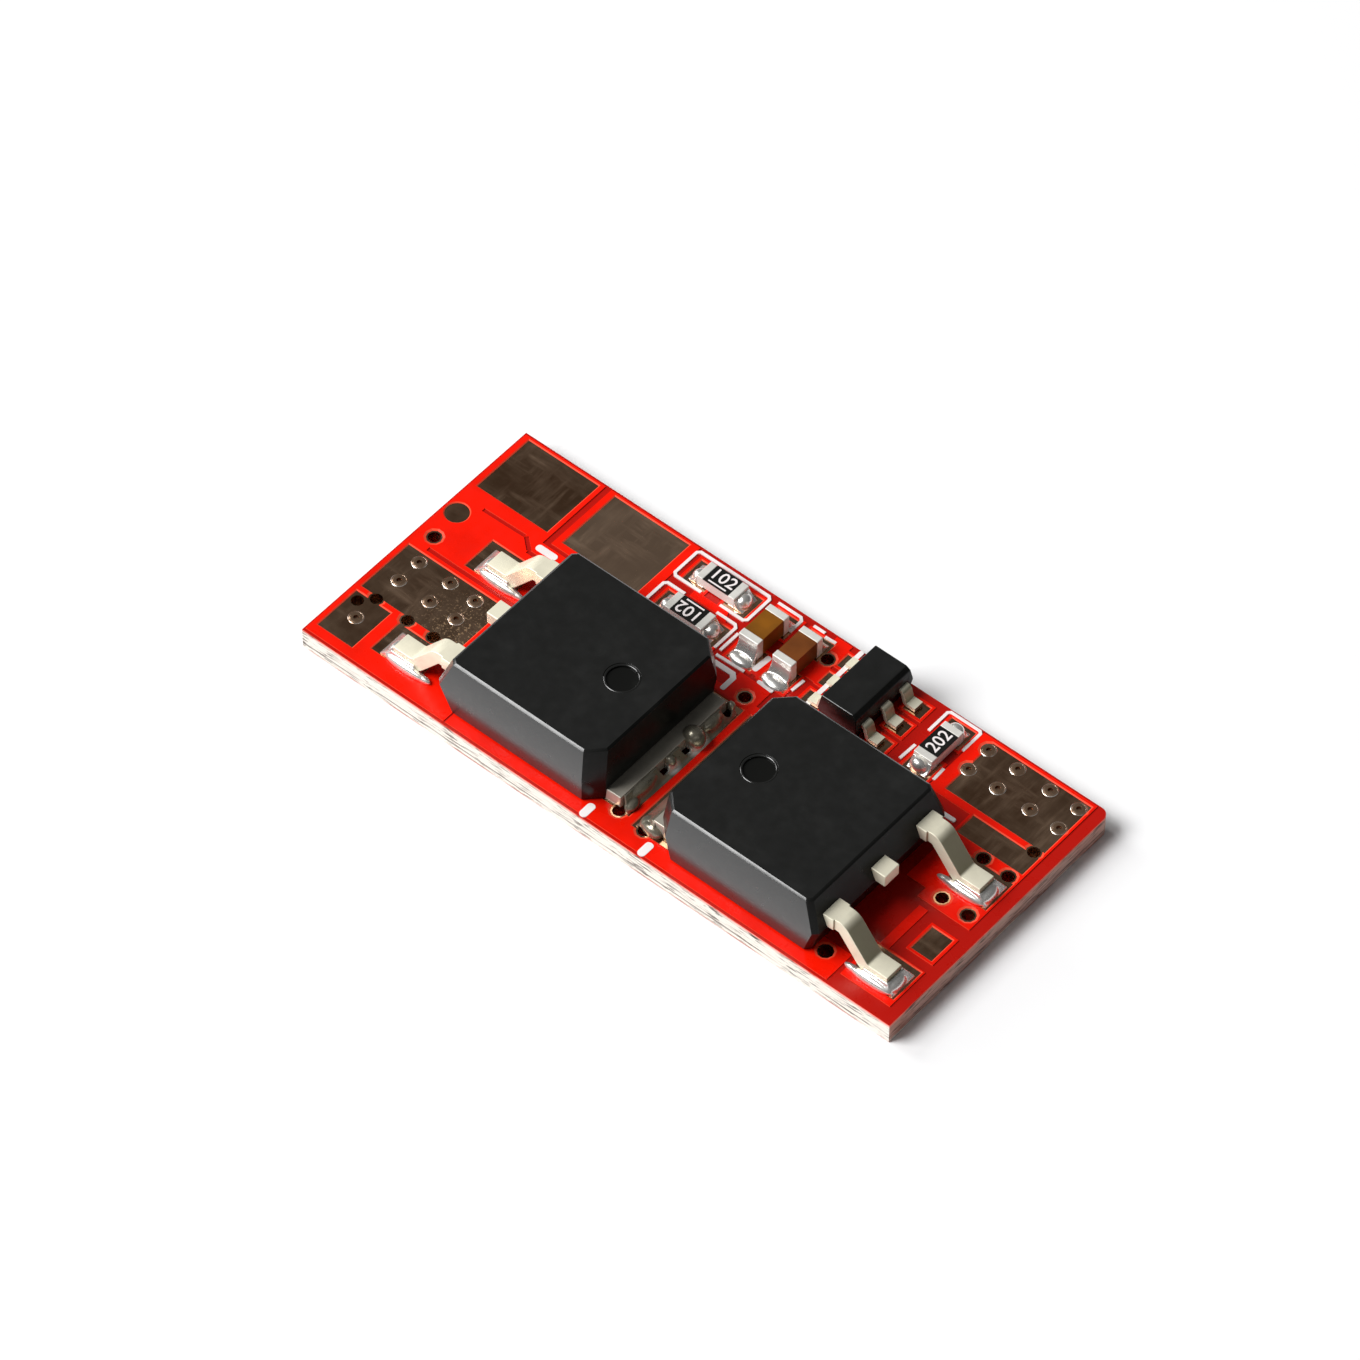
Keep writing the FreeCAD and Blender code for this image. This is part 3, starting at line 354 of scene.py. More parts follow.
def distance_from(shader, x_mm, y_mm):
    """How far a place lies from a spot on the board's face."""
    node = shader.nodes.new("ShaderNodeVectorMath")
    node.operation = "DISTANCE"
    shader.links.new(shader.coords, node.inputs[0])
    node.inputs[1].default_value = (LEFT + x_mm * MM, NEAR + y_mm * MM, TOP)
    return node.outputs["Value"]


def tin_finish(colours):
    """Levelled tin on copper: dark, partly its own brown and partly a painted reflection of a dark
    room, mirror-like, streaked and patchy, speckled in one corner.
    """
    shader = Shader("tinned_copper")
    patches = shader.noise(520, 5, 0.6)
    body = shader.blend(shader.ranged(patches, 0.36, 0.64), colours.tin_dark, colours.tin)
    streaks = shader.noise(1.0, 4, 0.6, shader.mapped((2600, 420, 2600)))
    across = shader.noise(1.0, 4, 0.6, shader.mapped((420, 2300, 2600), (3.1, 0.7, 0.0)))
    marks = shader.math("MAXIMUM", shader.ranged(streaks, 0.46, 0.80, 0.0, 0.7),
                        shader.ranged(across, 0.48, 0.82, 0.0, 0.7))
    cover = shader.ranged(shader.noise(800, 3), 0.36, 0.66, 0.2, 1.0)
    marks = shader.math("MULTIPLY", marks, cover)
    body = shader.blend(marks, body, colours.tin_pale)
    rubbed = shader.ranged(distance_from(shader, *PALE_PAD), 1.7 * MM, 2.6 * MM, 0.62, 0.0)
    body = shader.blend(rubbed, body, colours.tin_pale)
    near = shader.ranged(distance_from(shader, *SPECKLED_PAD), 0.5 * MM, 1.9 * MM, 1.0, 0.0)
    grains = shader.ranged(shader.noise(13000, 3, 0.7), 0.57, 0.63, 0.0, 0.85)
    speckle = shader.math("MULTIPLY", near, grains)
    shader.link(shader.blend(speckle, body, colours.speckle), "Base Color")
    metal = shader.math("SUBTRACT", shader.ranged(speckle, 0.0, 1.0, 1.0, 0.55),
                        shader.math("MULTIPLY", marks, 0.12))
    shader.link(metal, "Metallic")
    shader.link(shader.ranged(marks, 0.0, 1.0, 0.16, 0.34), "Roughness")
    return shader.bump(patches, 0.30, 0.02 * MM).material


def hole_finish(colours):
    """Tin that filled a hole: dark in the hollow, with a painted highlight of solder colour on the
    lip's slopes.
    """
    shader = Shader("hole_tin")
    # Painted highlight: the lip's sloping faces turn solder-bright, as crescents of light.
    tilt = shader.ranged(shader.math("ABSOLUTE", shader.normal("Z")), 0.84, 0.97, 1.0, 0.0)
    pattern = shader.noise(3600, 3)
    lip = shader.math("MULTIPLY", tilt, shader.ranged(pattern, 0.38, 0.58, 0.1, 0.9))
    shader.link(shader.blend(lip, colours.tin, colours.solder), "Base Color")
    shader.link(shader.ranged(lip, 0.0, 1.0, 0.97, 0.7), "Metallic")
    shader.link(shader.ranged(pattern, 0.3, 0.7, 0.18, 0.28), "Roughness")
    return shader.bump(pattern, 0.25, 0.01 * MM).material


def uneven(shader, pattern, tone):
    """A metal's tone, a little duller in patches."""
    return shader.blend(shader.ranged(pattern, 0.3, 0.62), dimmed(tone, 0.86), tone)


def metal_finish(name, tone, metallic, rough, grain, relief):
    """Plated or soldered metal with a fine uneven grain."""
    shader = Shader(name)
    pattern = shader.noise(grain, 4, 0.6)
    shader.link(uneven(shader, pattern, tone), "Base Color")
    shader.link(shader.ranged(pattern, 0.3, 0.7, rough * 1.3, rough), "Roughness")
    shader.set(Metallic=metallic)
    return shader.bump(shader.noise(grain * 1.6, 3), 0.35, relief * MM).material


def film_finish(colours):
    """Solder along the heat tabs: dark and thin, bright where it stands in beads."""
    shader = Shader("solder_film")
    large = distance_from(shader, *LARGE_BEAD[:2])
    small = distance_from(shader, *SMALL_BEAD[:2])
    beads = shader.math("MAXIMUM", shader.ranged(large, 0.40 * MM, 0.58 * MM, 1.0, 0.0),
                        shader.ranged(small, 0.28 * MM, 0.40 * MM, 1.0, 0.0))
    cloud = shader.ranged(shader.noise(1100, 4, 0.6), 0.34, 0.66)
    dark = shader.blend(cloud, dimmed(colours.film, 0.6), colours.film)
    shader.link(shader.blend(beads, dark, colours.solder), "Base Color")
    shader.link(shader.ranged(cloud, 0.0, 1.0, 0.22, 0.36), "Roughness")
    shader.set(Metallic=0.6)
    return shader.bump(shader.noise(1300, 3), 0.3, 0.010 * MM).material


def lead_finish(name, colours):
    """Plated leads: cream and matt on top, with painted shade: darker where the bends face the
    board's right.
    """
    shader = Shader(name)
    pattern = shader.noise(1500, 4, 0.6)
    # Painted shade: faces turned to the board's right are darkened towards lead_shade.
    right_facing_shade = shader.ranged(shader.normal("X"), 0.3, 0.75, 0.0, 0.9)
    body = uneven(shader, pattern, colours.lead)
    shader.link(shader.blend(right_facing_shade, body, colours.lead_shade), "Base Color")
    shader.link(shader.ranged(pattern, 0.3, 0.7, 0.48, 0.38), "Roughness")
    shader.link(shader.ranged(right_facing_shade, 0.0, 1.0, 0.22, 0.5), "Metallic")
    return shader.bump(shader.noise(2400, 3), 0.35, 0.006 * MM).material


def moulding_finish(name, tone, face_z):
    """Black moulded epoxy: a fine matt grain, faint paler smears, polished dimples; painted shade
    cuts the sheen on faces turned to the board's right.
    """
    shader = Shader(name)
    smears = shader.ranged(shader.noise(620, 5, 0.62), 0.52, 0.78)
    pale = tuple(part * 1.6 + 0.003 for part in tone)
    shader.link(shader.blend(smears, tone, pale), "Base Color")
    low = shader.ranged(shader.axis("Z"), face_z - 0.085 * MM, face_z - 0.06 * MM, 1.0, 0.0)
    flat = shader.ranged(shader.normal("Z"), 0.97, 0.99)
    dimple = shader.math("MULTIPLY", low, flat)
    grain = shader.ranged(shader.noise(2600, 3), 0.3, 0.7, 0.27, 0.34)
    shader.link(shader.math("SUBTRACT", grain, shader.math("MULTIPLY", dimple, 0.2)), "Roughness")
    # Painted shade: faces turned to the board's right lose most of their sheen, so they stay dark.
    right = shader.ranged(shader.normal("X"), 0.25, 0.6, 1.0, 0.12)
    top = shader.ranged(shader.normal("Z"), 0.5, 0.9, 1.0, 0.8)
    shine = shader.math("MINIMUM", shader.math("MINIMUM", right, top),
                        shader.ranged(dimple, 0.0, 1.0, 1.0, 0.3))
    shader.link(shine, "Specular IOR Level")
    return shader.bump(shader.noise(9000, 3, 0.7), 0.12, 0.004 * MM).material


def tab_finish(colours):
    """Heat tabs: dark where the solder wetted them, plated like the leads at the cut lead."""
    shader = Shader("wetted_tab")
    x = shader.axis("X")
    right = LEFT + RIGHT_MM * MM
    stub = shader.math("MAXIMUM", shader.ranged(x, LEFT + 8 * MM, LEFT + 7 * MM),
                       shader.ranged(x, right - 7 * MM, right - 6 * MM))
    pattern = shader.ranged(shader.noise(900, 4, 0.6), 0.3, 0.62)
    dark = shader.blend(pattern, dimmed(colours.tab, 0.7), colours.tab)
    shader.link(shader.blend(stub, dark, colours.lead), "Base Color")
    shader.link(shader.ranged(stub, 0.0, 1.0, 0.45, 0.22), "Metallic")
    shader.link(shader.ranged(stub, 0.0, 1.0, 0.34, 0.42), "Roughness")
    return shader.bump(shader.noise(1200, 3), 0.35, 0.010 * MM).material


def glaze_finish(name, tone, rough, spread):
    """Smooth glaze or ceramic, a little uneven in tone."""
    shader = Shader(name)
    cloud = shader.ranged(shader.noise(1400, 4), 0.3, 0.7)
    deep = dimmed(tone, 1 - spread)
    shader.link(shader.blend(cloud, deep, tone), "Base Color")
    shader.set(Roughness=rough, Coat_Weight=0.2, Coat_Roughness=0.2)
    return shader.bump(shader.noise(6000, 2), 0.15, 0.004 * MM).material


# Modelling helpers

def start():
    """Nothing selected, object mode."""
    if bpy.context.object and bpy.context.object.mode != "OBJECT":
        bpy.ops.object.mode_set(mode="OBJECT")
    bpy.ops.object.select_all(action="DESELECT")


def finish_piece(piece, name, material):
    """Name a new piece, give it its finish and let it ride on the board."""
    piece.name = name
    piece.data.name = name
    piece.data.materials.clear()
    piece.data.materials.append(material)
    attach(piece, "root")


def board_point(x_mm, y_mm, z):
    """A point given from the near left corner of the board."""
    return Vector((LEFT + x_mm * MM, NEAR + y_mm * MM, z))


def side_points(points, half):
    """Both edges of a band along a line of points, mitred at its corners."""
    left, right = [], []
    for i, point in enumerate(points):
        before = (point - points[i - 1]).normalized() if i else None
        after = (points[i + 1] - point).normalized() if i + 1 < len(points) else None
        before, after = before or after, after or before
        across = Vector((-(before.y + after.y), before.x + after.x, 0)).normalized()
        reach = half / max(0.5, across.dot(Vector((-after.y, after.x, 0))))
        left.append(point + across * reach)
        right.append(point - across * reach)
    return left, right


def printed_band(points, width, height, soft_ends):
    """A flat band of ink: a plane drawn out along the line, then raised."""
    left, right = side_points(points, width / 2)
    start()
    bpy.ops.mesh.primitive_plane_add(size=width, location=points[0])
    band = bpy.context.object
    bpy.ops.object.transform_apply(location=True, rotation=False, scale=False)
    bpy.ops.object.mode_set(mode="EDIT")
    mesh = bmesh.from_edit_mesh(band.data)
    for vertex, place in zip(mesh.faces[:][0].verts, (right[0], right[1], left[1], left[0])):
        vertex.co = place
    for i in range(2, len(points)):
        draw_on(band, left[i - 1], right[i - 1], left[i], right[i])
    if soft_ends:
        round_corners(band, (left[0], right[0], left[-1], right[-1]), width * ROUND_END)
    bpy.ops.mesh.select_all(action="SELECT")
    bpy.ops.mesh.extrude_region_move(TRANSFORM_OT_translate={"value": (0, 0, height)})
    bpy.ops.mesh.select_all(action="SELECT")
    bpy.ops.mesh.normals_make_consistent(inside=False)
    bpy.ops.object.mode_set(mode="OBJECT")
    return band


def is_at(vertex, places):
    """Whether a vertex lies on one of the places."""
    return any((vertex.co - place).length < SAME_PLACE for place in places)


def draw_on(band, left, right, next_left, next_right):
    """Draw a band's end edge on to the next pair of places."""
    mesh = bmesh.from_edit_mesh(band.data)
    for items in (mesh.faces, mesh.edges, mesh.verts):
        for item in items:
            item.select = False
    for edge in mesh.edges:
        if all(is_at(vertex, (left, right)) for vertex in edge.verts):
            edge.select = True
    bmesh.update_edit_mesh(band.data)
    bpy.ops.mesh.extrude_region_move()
    mesh = bmesh.from_edit_mesh(band.data)
    for vertex in (v for v in mesh.verts if v.select):
        vertex.co = next_left if is_at(vertex, (left,)) else next_right
    bmesh.update_edit_mesh(band.data)


def round_corners(band, corners, radius):
    """Bevel a flat band's corners."""
    mesh = bmesh.from_edit_mesh(band.data)
    for vertex in mesh.verts:
        vertex.select = is_at(vertex, corners)
    mesh.select_flush_mode()
    bmesh.update_edit_mesh(band.data)
    bpy.ops.mesh.bevel(offset=radius, segments=4, affect="VERTICES")


def join(pieces):
    """Join pieces into the first one."""
    start()
    for piece in pieces:
        piece.select_set(True)
    bpy.context.view_layer.objects.active = pieces[0]
    if len(pieces) > 1:
        bpy.ops.object.join()
    return pieces[0]


def apply_modifier(piece, kind, **settings):
    """Add a modifier, set it and apply it."""
    start()
    piece.select_set(True)
    bpy.context.view_layer.objects.active = piece
    modifier = piece.modifiers.new(kind.lower(), kind)
    for key, value in settings.items():
        setattr(modifier, key, value)
    bpy.ops.object.modifier_apply(modifier=modifier.name)


def clean_copy(node):
    """A welded copy of a CAD node, free to be shaped."""
    start()
    piece = NODES[node].copy()
    piece.data = NODES[node].data.copy()
    for key in list(piece.keys()):
        del piece[key]
    piece.parent = None
    bpy.context.scene.collection.objects.link(piece)
    piece.select_set(True)
    bpy.context.view_layer.objects.active = piece
    bpy.ops.object.mode_set(mode="EDIT")
    bpy.ops.mesh.select_all(action="SELECT")
    bpy.ops.mesh.remove_doubles(threshold=SAME_PLACE)
    bpy.ops.object.mode_set(mode="OBJECT")
    return piece


def softened(node, width, material):
    """A CAD node's copy with its sharp edges rounded, as a moulded or stamped piece has them."""
    piece = clean_copy(node)
    bpy.ops.object.mode_set(mode="EDIT")
    bpy.ops.mesh.select_all(action="SELECT")
    bpy.ops.mesh.dissolve_limited(angle_limit=FLAT_ANGLE)
    bpy.ops.object.mode_set(mode="OBJECT")
    apply_modifier(piece, "BEVEL", width=width, segments=3, limit_method="ANGLE",
                   angle_limit=EDGE_ANGLE, use_clamp_overlap=True)
    bpy.ops.object.shade_smooth_by_angle(angle=EDGE_ANGLE)
    apply_modifier(piece, "WEIGHTED_NORMAL", mode="FACE_AREA", weight=100, keep_sharp=True)
    finish_piece(piece, node + "_rounded", material)
    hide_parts(node)


def lump(middle, radii):
    """A frozen bead: a sphere flattened in edit mode, in place."""
    start()
    bpy.ops.mesh.primitive_uv_sphere_add(segments=24, ring_count=16, radius=1.0, location=(0, 0, 0))
    bead = bpy.context.object
    bpy.ops.object.mode_set(mode="EDIT")
    bpy.ops.mesh.select_all(action="SELECT")
    bpy.ops.transform.resize(value=radii, center_override=(0, 0, 0))
    bpy.ops.transform.translate(value=middle)
    bpy.ops.object.mode_set(mode="OBJECT")
    return bead


def molten(node, voxel, rounds, material, lumps=()):
    """Metal as it sets: the CAD piece and its beads, drawn round by surface tension."""
    beads = [lump(board_point(x, y, PAD + z * MM), (a * MM, b * MM, c * MM))
             for x, y, z, a, b, c in lumps]
    piece = join([clean_copy(node)] + beads)
    apply_modifier(piece, "REMESH", mode="VOXEL", voxel_size=voxel, use_smooth_shade=True)
    apply_modifier(piece, "SMOOTH", factor=0.5, iterations=rounds)
    apply_modifier(piece, "DECIMATE", ratio=KEPT_SHARE)
    bpy.ops.object.shade_smooth()
    finish_piece(piece, node + "_set", material)
    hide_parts(node)


# Toes of the transistors' leads, in millimetres, and the way from toe to body along X

FEET = {"left_gate": (3.06, 5.93, 1), "left_source": (3.06, 1.36, 1),
        "right_source": (23.58, 5.93, -1), "right_gate": (23.58, 1.36, -1)}

# Solder beads, in millimetres: x and y from the near left corner, z over the pads, radii

LARGE_BEAD = (12.70, 4.54, 0.40, 0.42, 0.38, 0.44)
SMALL_BEAD = (12.72, 3.36, 0.34, 0.23, 0.18, 0.24)
STRIP_BEADS = [LARGE_BEAD, SMALL_BEAD,
               (12.72, 6.38, 0.28, 0.16, 0.14, 0.18), (12.86, 1.34, 0.14, 0.20, 0.30, 0.20),
               (12.68, 5.40, 0.32, 0.26, 0.46, 0.27), (12.68, 2.05, 0.32, 0.26, 0.66, 0.27),
               (12.92, 3.75, 0.00, 0.16, 2.60, 0.09)]
RIGHT_TAB_BEADS = [(13.70, 1.16, 0.10, 0.26, 0.30, 0.22), (14.00, 0.98, 0.12, 0.40, 0.20, 0.26)]
CHIP_BEADS = {
    "resistor_1_solder": [(10.18, 10.05, 0.10, 0.26, 0.31, 0.30),
                          (8.34, 9.98, 0.08, 0.22, 0.26, 0.24)],
    "resistor_2_solder": [(10.18, 8.42, 0.10, 0.26, 0.31, 0.30),
                          (8.34, 8.36, 0.08, 0.22, 0.26, 0.24)],
    "resistor_3_solder": [(18.76, 10.36, 0.10, 0.31, 0.24, 0.28),
                          (18.74, 8.50, 0.10, 0.31, 0.26, 0.30)],
    "capacitor_1_solder": [(11.62, 8.22, 0.00, 0.50, 0.33, 0.20)],
    "capacitor_2_solder": [(13.02, 8.20, 0.00, 0.52, 0.35, 0.20)],
}


def foot_beads(x, y, way):
    """The fat roll of solder along the near side of a foot, and the lump at its toe."""
    return [(x + way * 0.60, y - 0.47, 0.12, 0.86, 0.17, 0.20),
            (x + way * 1.20, y - 0.44, 0.10, 0.46, 0.13, 0.14),
            (x - way * 0.10, y - 0.06, 0.12, 0.24, 0.44, 0.26)]


# Printed legend, in millimetres from the near left corner: lines of the thin width, then
# thick marks with round ends and the width of each

THIN_LINES = [
    [(8.81, 9.51), (7.72, 9.51), (7.62, 9.61), (7.62, 10.70), (7.72, 10.80), (10.60, 10.80),
     (10.70, 10.70), (10.70, 9.59), (10.60, 9.49), (9.62, 9.49)],
    [(7.63, 8.00), (7.63, 9.02), (7.73, 9.12), (8.45, 9.12)],
    [(9.74, 9.19), (10.52, 9.19), (10.63, 9.08), (10.63, 8.02)],
    [(10.84, 8.97), (10.84, 8.06)],
    [(11.00, 10.79), (11.95, 10.79), (12.06, 10.68), (12.06, 10.10)],
    [(12.49, 10.79), (12.96, 10.79)],
    [(13.06, 10.67), (13.50, 10.69)],
    [(10.85, 7.84), (12.00, 7.88)],
    [(13.66, 8.27), (13.70, 8.84)],
    [(18.04, 9.85), (18.04, 10.80), (18.12, 10.88), (19.31, 10.88), (19.39, 10.80), (19.39, 9.90)],
    [(18.05, 8.38), (18.08, 9.12)],
    [(19.42, 8.39), (19.39, 8.95)],
]
THICK_MARKS = [
    ([(12.20, 8.10), (12.26, 8.88)], 0.21),
    ([(12.58, 7.86), (13.24, 7.82)], 0.15),
    ([(10.95, 7.57), (11.78, 7.57), (11.91, 7.44), (11.91, 6.84)], 0.19),
    ([(14.38, 10.98), (14.40, 8.00), (14.20, 7.78)], 0.17),
    ([(3.49, 7.52), (4.34, 7.52)], 0.27),
    ([(20.40, 7.54), (21.00, 7.54)], 0.16),
    ([(11.86, 0.03), (11.86, 0.64)], 0.30),
    ([(14.28, 0.03), (14.28, 0.64)], 0.30),
]

# Resistors' plain numbers: node, number, turn and whether it has a line under it

CODES = [
    ("resistor_1_overcoat", "102", 0.0, True),
    ("resistor_2_overcoat", "102", math.pi, True),
    ("resistor_3_overcoat", "202", math.pi / 2, False),
]
CAP_SHARE = 0.72                # a number's height as a share of its font size
CODE_ROOM = 0.86                # a number's width, at most, as a share of the overcoat's
CODE_DROP = 0.02 * MM           # moved down from the overcoat's middle
CODE_DEPTH = 0.005 * MM         # half the ink's thickness
CODE_GAP = 0.001 * MM           # ink's middle above the overcoat
LINE_DROP = 0.72                # line under a number: below its middle, as a share of its height
LINE_HALF = 0.78                # half the line's length, as a share of the number's height
LINE_WIDTH = 0.055 * MM
LINE_ROOM = 0.07 * MM           # a number with a line moves up by this much
ROUND_END = 0.42                # rounding of a thick mark's ends, as a share of its width


def legend(sizes, material):
    """Every printed line on the mask, as one piece."""
    base = TOP - STEP_DOWN - 0.001 * MM
    height = sizes.ink_height + TOP - base
    bands = []
    for line in THIN_LINES:
        points = [board_point(x, y, base) for x, y in line]
        bands.append(printed_band(points, sizes.line, height, False))
    for line, width in THICK_MARKS:
        points = [board_point(x, y, base) for x, y in line]
        bands.append(printed_band(points, width * MM, height, True))
    finish_piece(join(bands), "printed_legend", material)


def resistor_code(node, text, turn, underlined, sizes, material):
    """A plain number on a resistor's overcoat, narrowed where it would be too long."""
    low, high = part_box(node)
    middle = (low + high) / 2
    start()
    bpy.ops.object.text_add(location=(0, 0, 0))
    label = bpy.context.object
    label.data.body = text
    label.data.size = sizes.code_height / CAP_SHARE
    label.data.align_x = "CENTER"
    label.data.align_y = "CENTER"
    label.data.space_character = 1.02
    label.data.extrude = CODE_DEPTH
    label.data.offset = 0.006 * MM
    label.data.resolution_u = 3
    bpy.ops.object.convert(target="MESH")
    parts = [label]
    if underlined:
        drop = sizes.code_height * LINE_DROP
        half = sizes.code_height * LINE_HALF
        ends = [Vector((-half, -drop, -CODE_DEPTH)), Vector((half, -drop, -CODE_DEPTH))]
        parts.append(printed_band(ends, LINE_WIDTH, 2 * CODE_DEPTH, False))
    label = join(parts)
    across = [vertex.co.x for vertex in label.data.vertices]
    room = max((high - low).to_2d())
    squeeze = min(1.0, CODE_ROOM * room / (max(across) - min(across)))
    rise = LINE_ROOM - CODE_DROP if underlined else -CODE_DROP
    place = Vector((middle.x, middle.y, high.z + CODE_GAP))
    label.data.transform(Matrix.Diagonal((squeeze, 1.0, 1.0, 1.0)))
    label.data.transform(Matrix.Rotation(turn, 4, "Z") @ Matrix.Translation((0, rise, 0)))
    label.data.transform(Matrix.Translation(place))
    finish_piece(label, node.replace("overcoat", "number"), material)


def dimple_middle(side, z):
    """Middle of the round mark in a transistor's top, inside from the wall at its leads."""
    low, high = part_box(side + "_transistor_body")
    x = low.x + DIMPLE_INSIDE if side == "left" else high.x - DIMPLE_INSIDE
    return Vector((x, (low.y + high.y) / 2, z))


def dimple_rims(sizes, tone):
    """The polished rounding inside each body's round ejector mark."""
    shader = Shader("polished_moulding")
    grain = shader.noise(2600, 3)
    shader.link(shader.blend(grain, tone, dimmed(tone, 1.8)), "Base Color")
    shader.link(shader.ranged(grain, 0.35, 0.65, 0.10, 0.26), "Roughness")
    shader.set(Specular_IOR_Level=1.0)
    polish = shader.bump(shader.noise(4200, 2), 0.25, 0.006 * MM).material
    for side in ("left", "right"):
        start()
        bpy.ops.mesh.primitive_circle_add(vertices=12, radius=sizes.rim_round, location=(0, 0, 0))
        rim = bpy.context.object
        bpy.ops.object.mode_set(mode="EDIT")
        bpy.ops.mesh.select_all(action="SELECT")
        bpy.ops.transform.rotate(value=math.pi / 2, orient_axis="X", center_override=(0, 0, 0))
        bpy.ops.transform.translate(value=(sizes.dimple_radius - sizes.rim_round, 0, 0))
        bpy.ops.mesh.spin(steps=48, angle=2 * math.pi, center=(0, 0, 0), axis=(0, 0, 1))
        bpy.ops.mesh.select_all(action="SELECT")
        bpy.ops.mesh.remove_doubles(threshold=1e-8)
        bpy.ops.mesh.normals_make_consistent(inside=False)
        bpy.ops.object.mode_set(mode="OBJECT")
        bpy.ops.object.shade_smooth()
        middle = dimple_middle(side, BODY_TOP - sizes.rim_depth)
        rim.data.transform(Matrix.Translation(middle))
        finish_piece(rim, side + "_dimple_rim", polish)


# Operators

class BOARD_OT_board(bpy.types.Operator):
    """Finish the laminate, the mask and the copper"""
    bl_idname = "board.finish_board"
    bl_label = "Finish the bare board"

    def execute(self, context):
        colours = context.scene.board_colours
        wear(["solder_mask_top"], mask_finish(colours))
        wear(["solder_mask_bottom"], under_mask_finish(colours))
        wear(["laminate"], laminate_finish(colours))
        wear([name for name in NODES if name.startswith("copper_")], tin_finish(colours))
        return {"FINISHED"}


class BOARD_OT_transistors(bpy.types.Operator):
    """Finish both power transistors"""
    bl_idname = "board.finish_transistors"
    bl_label = "Finish the transistors"

    def execute(self, context):
        colours = context.scene.board_colours
        sizes = context.scene.board_sizes
        black = moulding_finish("transistor_moulding", colours.moulding, BODY_TOP)
        for node in nodes_like("transistor_body"):
            softened(node, sizes.body_round, black)
        dimple_rims(sizes, colours.moulding)
        metal = lead_finish("plated_leads", colours)
        for node in nodes_like("gate_lead", "source_lead"):
            softened(node, sizes.lead_round, metal)
        tab = tab_finish(colours)
        for node in nodes_like("transistor_tab"):
            softened(node, sizes.lead_round, tab)
        return {"FINISHED"}


class BOARD_OT_controller(bpy.types.Operator):
    """Finish the controller and its leads"""
    bl_idname = "board.finish_controller"
    bl_label = "Finish the controller"

    def execute(self, context):
        colours = context.scene.board_colours
        softened("controller_body", context.scene.board_sizes.lead_round,
                 moulding_finish("controller_moulding", colours.moulding, 0.0))
        metal = lead_finish("controller_leads", colours)
        wear([name for name in NODES if name.startswith("controller_lead")], metal)
        return {"FINISHED"}


class BOARD_OT_chips(bpy.types.Operator):
    """Finish the chip resistors and capacitors"""
    bl_idname = "board.finish_chips"
    bl_label = "Finish the chips"

    def execute(self, context):
        colours = context.scene.board_colours
        wear(nodes_like("_overcoat"), glaze_finish("overcoat", colours.overcoat, 0.34, 0.3))
        whites = [name for name in nodes_like("_ceramic") if name.startswith("resistor")]
        wear(whites, glaze_finish("white_ceramic", colours.ceramic, 0.5, 0.12))
        tan = glaze_finish("tan_ceramic", colours.capacitor_tan, 0.32, 0.35)
        brown = glaze_finish("brown_ceramic", colours.capacitor_brown, 0.32, 0.35)
        wear(["capacitor_1_ceramic"], tan)
        wear(["capacitor_2_ceramic"], brown)
        metal = metal_finish("chip_ends", colours.terminal, 0.25, 0.34, 2600, 0.006)
        voxel = context.scene.board_sizes.chip_voxel
        for node in nodes_like("_terminals"):
            molten(node, voxel, TERMINAL_ROUNDS, metal)
        return {"FINISHED"}


class BOARD_OT_solder(bpy.types.Operator):
    """Round every solder joint and give it its finish"""
    bl_idname = "board.set_solder"
    bl_label = "Set the solder"

    def execute(self, context):
        colours = context.scene.board_colours
        voxel = context.scene.board_sizes.solder_voxel
        metal = metal_finish("reflowed_solder", colours.solder, 0.80, 0.24, 1300, 0.004)
        film = film_finish(colours)
        beads = {name + "_solder": foot_beads(*place) for name, place in FEET.items()}
        beads.update(CHIP_BEADS)
        beads["left_tab_solder"] = STRIP_BEADS
        beads["right_tab_solder"] = RIGHT_TAB_BEADS
        for node in nodes_like("_solder"):
            share = FINE_SHARE if node.startswith("controller") else 1.0
            finish = film if node.endswith("tab_solder") else metal
            molten(node, voxel * share, SOLDER_ROUNDS, finish, beads.get(node, ()))
        return {"FINISHED"}


# Plated holes that the tinning filled, in millimetres from the near left corner, and the
# rings of a filled hole's faces: growth, and rise as a share of the lip

FILLED_HOLES = [(1.02, 4.55), (2.37, 4.55), (3.48, 4.50), (1.02, 3.56), (2.37, 3.54), (3.50, 3.54),
                (1.00, 1.49)] + [(RIGHT_MM - x, FAR_MM - y) for x in (4.51, 3.32, 2.00, 0.84)
                                 for y in (0.52, 1.54)]
UPPER_RINGS = ((1.24, 0.0), (0.95, 0.55), (0.93, 0.15), (0.91, -0.4), (0.87, -1.2), (0.80, -0.9),
               (0.6, -0.3))
LOWER_RINGS = ((0.9, 0.0), (0.9, 0.6), (0.5, 0.3))


def filled_hole(sizes):
    """One filled hole: a plug with a low lip and a hollow face above, flush below."""
    low = BOARD_LOW.z + BOARD_HIGH.z - PAD
    start()
    bpy.ops.mesh.primitive_cylinder_add(vertices=28, radius=sizes.plug_radius, depth=PAD - low,
                                        location=(0, 0, (PAD + low) / 2))
    plug = bpy.context.object
    bpy.ops.object.transform_apply(location=True, rotation=False, scale=False)
    draw_rings(plug, 1, PAD, sizes.plug_lip, UPPER_RINGS)
    draw_rings(plug, -1, low, sizes.plug_lip, LOWER_RINGS)
    bpy.ops.object.shade_smooth_by_angle(angle=math.radians(50))
    return plug


